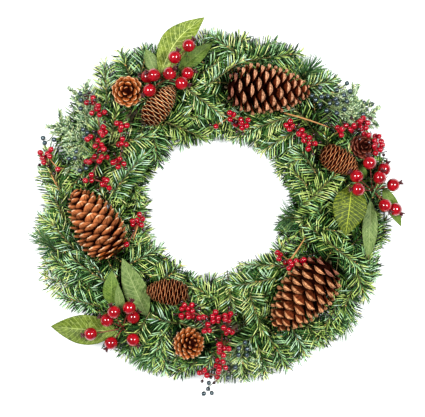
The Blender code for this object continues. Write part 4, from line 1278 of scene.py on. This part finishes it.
def cone_look(name, deep, body, lip, edge, roughness, shade_to, lip_from, side, side_from=0.34):
    """A cone scale: painted shade inside, brown along it, a paler lip and edge, partly its own colour and
    partly painted highlight, a tint at its sides, mostly painted shade, and grain.
    """
    tree = new_look(name, roughness, 0, 0.4 - 0.4 * roughness, (1.0, 0.55, 0.30))
    far, wide = map_place(tree)
    # painted shade inside the scale; its lip and edge are partly its own paler tip and partly painted
    # highlight
    shade = ramp(tree, repeat(tree, far, CONE_VERSIONS), [
        (0.0, deep), (shade_to, deep), (0.4 * shade_to + 0.6 * lip_from, body),
        (lip_from - 0.01, body), (lip_from, lip), (0.4 * lip_from + 0.6, edge),
    ])
    # the tint at the sides: painted shade between neighbouring scales where it darkens them
    off = away(tree, repeat(tree, wide, 2.0), 0.48)
    sides = ramp(tree, off, [(side_from, 1), (0.47, side), (1.0, side)])
    fleck = grain(tree, 24, 16, 5)
    tint = ramp(tree, fleck, [(0.38, (0.44, 0.38, 0.34)), (0.62, 1.24)])
    own = ramp(tree, far, [(0.0, 1), (0.25, 0.78), (0.5, 1.16), (0.75, 0.92)], True)
    paint(tree, times(tree, shade, own, tint, sides))
    bump(tree, fleck, 0.5, 0.4 * MM)


def leaf_look(name, low, high, vein, mottle):
    """A leaf: mottled green, a pale rib, side veins that run to the edge and a net of small ones."""
    tree = new_look(name, 0.55, 0, 0.25)
    far, wide = map_place(tree)
    off = away(tree, repeat(tree, wide, 2.0 * LEAF_VERSIONS), 0.5)
    slant = maths(tree, "SUBTRACT", far, maths(tree, "MULTIPLY", off, 0.34))
    side_vein = away(tree, repeat(tree, slant, LEAF_VEINS), 0.5)
    lines = ramp(tree, side_vein, [(0.0, 0.9), (0.03, 0.5), (0.07, 0), (1.0, 0)])
    rib = ramp(tree, off, [(0.0, 1), (0.022, 0), (1.0, 0)])
    net = away(tree, grain(tree, 15, 7 * LEAF_VERSIONS, 2), 0.5)
    threads = ramp(tree, net, [(0.0, 0.6), (0.02, 0), (1.0, 0)])
    colour = ramp(tree, grain(tree, mottle, mottle * LEAF_VERSIONS, 5), [(0.36, low), (0.62, high)])
    for share in (threads, lines, rib):
        colour = mixed(tree, "MIX", share, colour, (*vein, 1))
    paint(tree, colour)
    bump(tree, lines, 0.35, 0.4 * MM)


def berry_look(name, deep, bright, roughness, coat, metallic=0.0):
    """Berry skin: two tones in soft clouds, darker by the stalk and by the flower's end."""
    tree = new_look(name, roughness, coat, 0.45, metallic=metallic)
    clouds = ramp(tree, grain(tree, 3, 3 * BERRY_VERSIONS, 2), [(0.35, deep), (0.62, bright)])
    ends = ramp(tree, map_place(tree)[0], [(0.0, 0.45), (0.12, 1), (0.88, 1), (1.0, 0.3)])
    paint(tree, times(tree, clouds, ends))


# Looks of the cones: inside (painted shade), body, lip and edge (partly painted highlight), roughness, how
# far along the painted shade goes and the lip starts, the tint at the sides (mostly painted shade), and
# where that starts if not at the usual place
CONE_LOOKS = {
    "rust": (
        (0.022, 0.001, 0.001), (0.49, 0.158, 0.053), (0.63, 0.27, 0.125), (0.98, 0.64, 0.40),
        0.85, 0.72, 0.955, (0.30, 0.16, 0.12), 0.415,
    ),
    "dark": (
        (0.010, 0.001, 0.001), (0.19, 0.036, 0.012), (0.47, 0.165, 0.068), (0.72, 0.36, 0.20),
        0.55, 0.45, 0.89, (0.30, 0.24, 0.22),
    ),
    "tan": (
        (0.012, 0.002, 0.001), (0.18, 0.038, 0.012), (0.37, 0.125, 0.040), (0.64, 0.30, 0.14),
        0.55, 0.45, 0.89, (0.30, 0.24, 0.22),
    ),
    "gold": (
        (0.040, 0.002, 0.001), (0.36, 0.062, 0.008), (0.92, 0.40, 0.10), (1.0, 0.84, 0.50),
        0.5, 0.85, 0.958, (0.6, 0.5, 0.5),
    ),
    # a darker copy of the gold, as painted shade, for the slim cones that lie in shade
    "bronze": (
        (0.028, 0.002, 0.001), (0.20, 0.028, 0.004), (0.48, 0.14, 0.032), (0.98, 0.52, 0.24),
        0.5, 0.89, 0.966, (0.6, 0.5, 0.5),
    ),
    "round": (
        (0.036, 0.003, 0.001), (0.36, 0.085, 0.016), (0.52, 0.20, 0.06), (0.92, 0.56, 0.32),
        0.32, 0.68, 0.945, (1.1, 1.1, 1.1),
    ),
    "shade": (
        (0.016, 0.002, 0.001), (0.10, 0.014, 0.008), (0.20, 0.050, 0.026), (0.36, 0.14, 0.09),
        0.65, 0.60, 0.93, (0.30, 0.24, 0.22),
    ),
}


def materials():
    """Every material of the wreath."""
    needle_look("fir", (
        (0.0004, 0.004, 0.0005), (0.003, 0.018, 0.003), (0.013, 0.066, 0.013), (0.052, 0.150, 0.031),
        (0.148, 0.300, 0.064), (0.315, 0.510, 0.145), (0.520, 0.740, 0.260), (0.750, 0.930, 0.440),
        (0.920, 1.000, 0.680),
    ), 0.36, 0.38, (1.06, 1.0, 0.72), (0.77, 0.98, 1.18))
    needle_look("pine", ((0.012, 0.070, 0.035), (0.060, 0.190, 0.055), (0.240, 0.400, 0.140)), 0.4, 0.6)
    needle_look("juniper", (
        (0.003, 0.018, 0.008), (0.070, 0.160, 0.084), (0.370, 0.530, 0.285), (0.900, 1.000, 0.680),
    ), 0.7, 0.45, (1.08, 1.0, 0.84), (0.94, 1.0, 1.06))
    stem_look("twig", (0.06, 0.07, 0.018), (0.24, 0.19, 0.05), 0.6)
    stem_look("bud", (0.50, 0.24, 0.05), (0.80, 0.50, 0.16), 0.55)
    stem_look("bark", (0.045, 0.030, 0.015), (0.13, 0.085, 0.04), 0.8, 0, 0.5 * MM)
    stem_look("wire", (0.012, 0.04, 0.015), (0.03, 0.075, 0.03), 0.4, 0.2)
    stem_look("stem_red", (0.12, 0.012, 0.012), (0.28, 0.05, 0.025), 0.5)
    stem_look("stem_tan", (0.36, 0.16, 0.05), (0.60, 0.28, 0.09), 0.55)
    stem_look("stem_green", (0.10, 0.16, 0.05), (0.22, 0.27, 0.09), 0.55)
    stem_look("calyx", (0.030, 0.004, 0.006), (0.11, 0.012, 0.016), 0.35, 0.3)
    for name, values in CONE_LOOKS.items():
        cone_look("cone_" + name, *values)
        # near black hearts, as painted shade between the scales
        stem_look(f"cone_{name}_dark", (0.006, 0.001, 0.001), (0.020, 0.004, 0.002), 1.0, 0, 0, 0)
    leaf_look("leaf_light", (0.07, 0.125, 0.006), (0.19, 0.26, 0.022), (0.66, 0.76, 0.22), 11)
    leaf_look("leaf_olive", (0.055, 0.090, 0.004), (0.13, 0.19, 0.014), (0.42, 0.52, 0.13), 11)
    leaf_look("leaf_bright", (0.05, 0.11, 0.008), (0.12, 0.20, 0.022), (0.26, 0.36, 0.08), 11)
    leaf_look("leaf_mottled", (0.024, 0.048, 0.001), (0.060, 0.094, 0.002), (0.44, 0.52, 0.04), 20)
    leaf_look("leaf_pale", (0.075, 0.135, 0.028), (0.16, 0.24, 0.062), (0.36, 0.44, 0.17), 13)
    berry_look("berry_large", (0.20, 0.0002, 0.004), (0.43, 0.0004, 0.009), 0.16, 0.6)
    berry_look("berry_red", (0.22, 0.0004, 0.007), (0.50, 0.0008, 0.016), 0.12, 0.4)
    berry_look("berry_blue", (0.018, 0.042, 0.055), (0.070, 0.115, 0.135), 0.38, 1.0, 0.7)
    berry_look("bead", (0.006, 0.0006, 0.001), (0.035, 0.002, 0.005), 0.15, 0.6)
    paper = new_look("paper", 0.9, 0, 0.1).nodes["Principled BSDF"].inputs
    paper["Base Color"].default_value = (0.93, 0.94, 0.95, 1)
    paper["Emission Color"].default_value = (0.94, 0.97, 1.0, 1)
    paper["Emission Strength"].default_value = 0.44


def studio():
    """A white floor, a pale sky, two soft lamps by the camera and the camera."""
    bpy.ops.mesh.primitive_plane_add(size=8, location=(0, 0, 0))
    floor = bpy.context.object
    floor.name = "floor"
    floor.data.materials.append(LOOKS["paper"])
    world = bpy.data.worlds.new("sky")
    bpy.context.scene.world = world
    world.use_nodes = True
    sky = world.node_tree.nodes["Background"].inputs
    sky["Color"].default_value = (0.96, 0.98, 1.0, 1)
    sky["Strength"].default_value = 0.17
    for name, place in LAMPS.items():
        data = bpy.data.lights.new(name, "AREA")
        data.energy = LAMP_POWER
        data.size = LAMP_SIZE
        lamp = new_object(name, data)
        lamp.location = place
        lamp.rotation_euler = Vector(place).to_track_quat("Z", "Y").to_euler()
    data = bpy.data.cameras.new("camera")
    data.lens = LENS
    data.sensor_width = SENSOR
    camera = new_object("camera", data)
    camera.location = (*VIEW_MIDDLE, VIEW_HEIGHT + VIEW_WIDTH * LENS / SENSOR)
    bpy.context.scene.camera = camera
    bpy.context.scene.view_settings.view_transform = "Standard"


def main():
    """The whole scene."""
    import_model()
    materials()
    studio()
    keep = fill_keep_out()
    sprays(keep)
    cones()
    picks()
    wire_frame()
    pine_sprigs(keep)
    juniper(keep)
    fir_bunches(keep)


main()
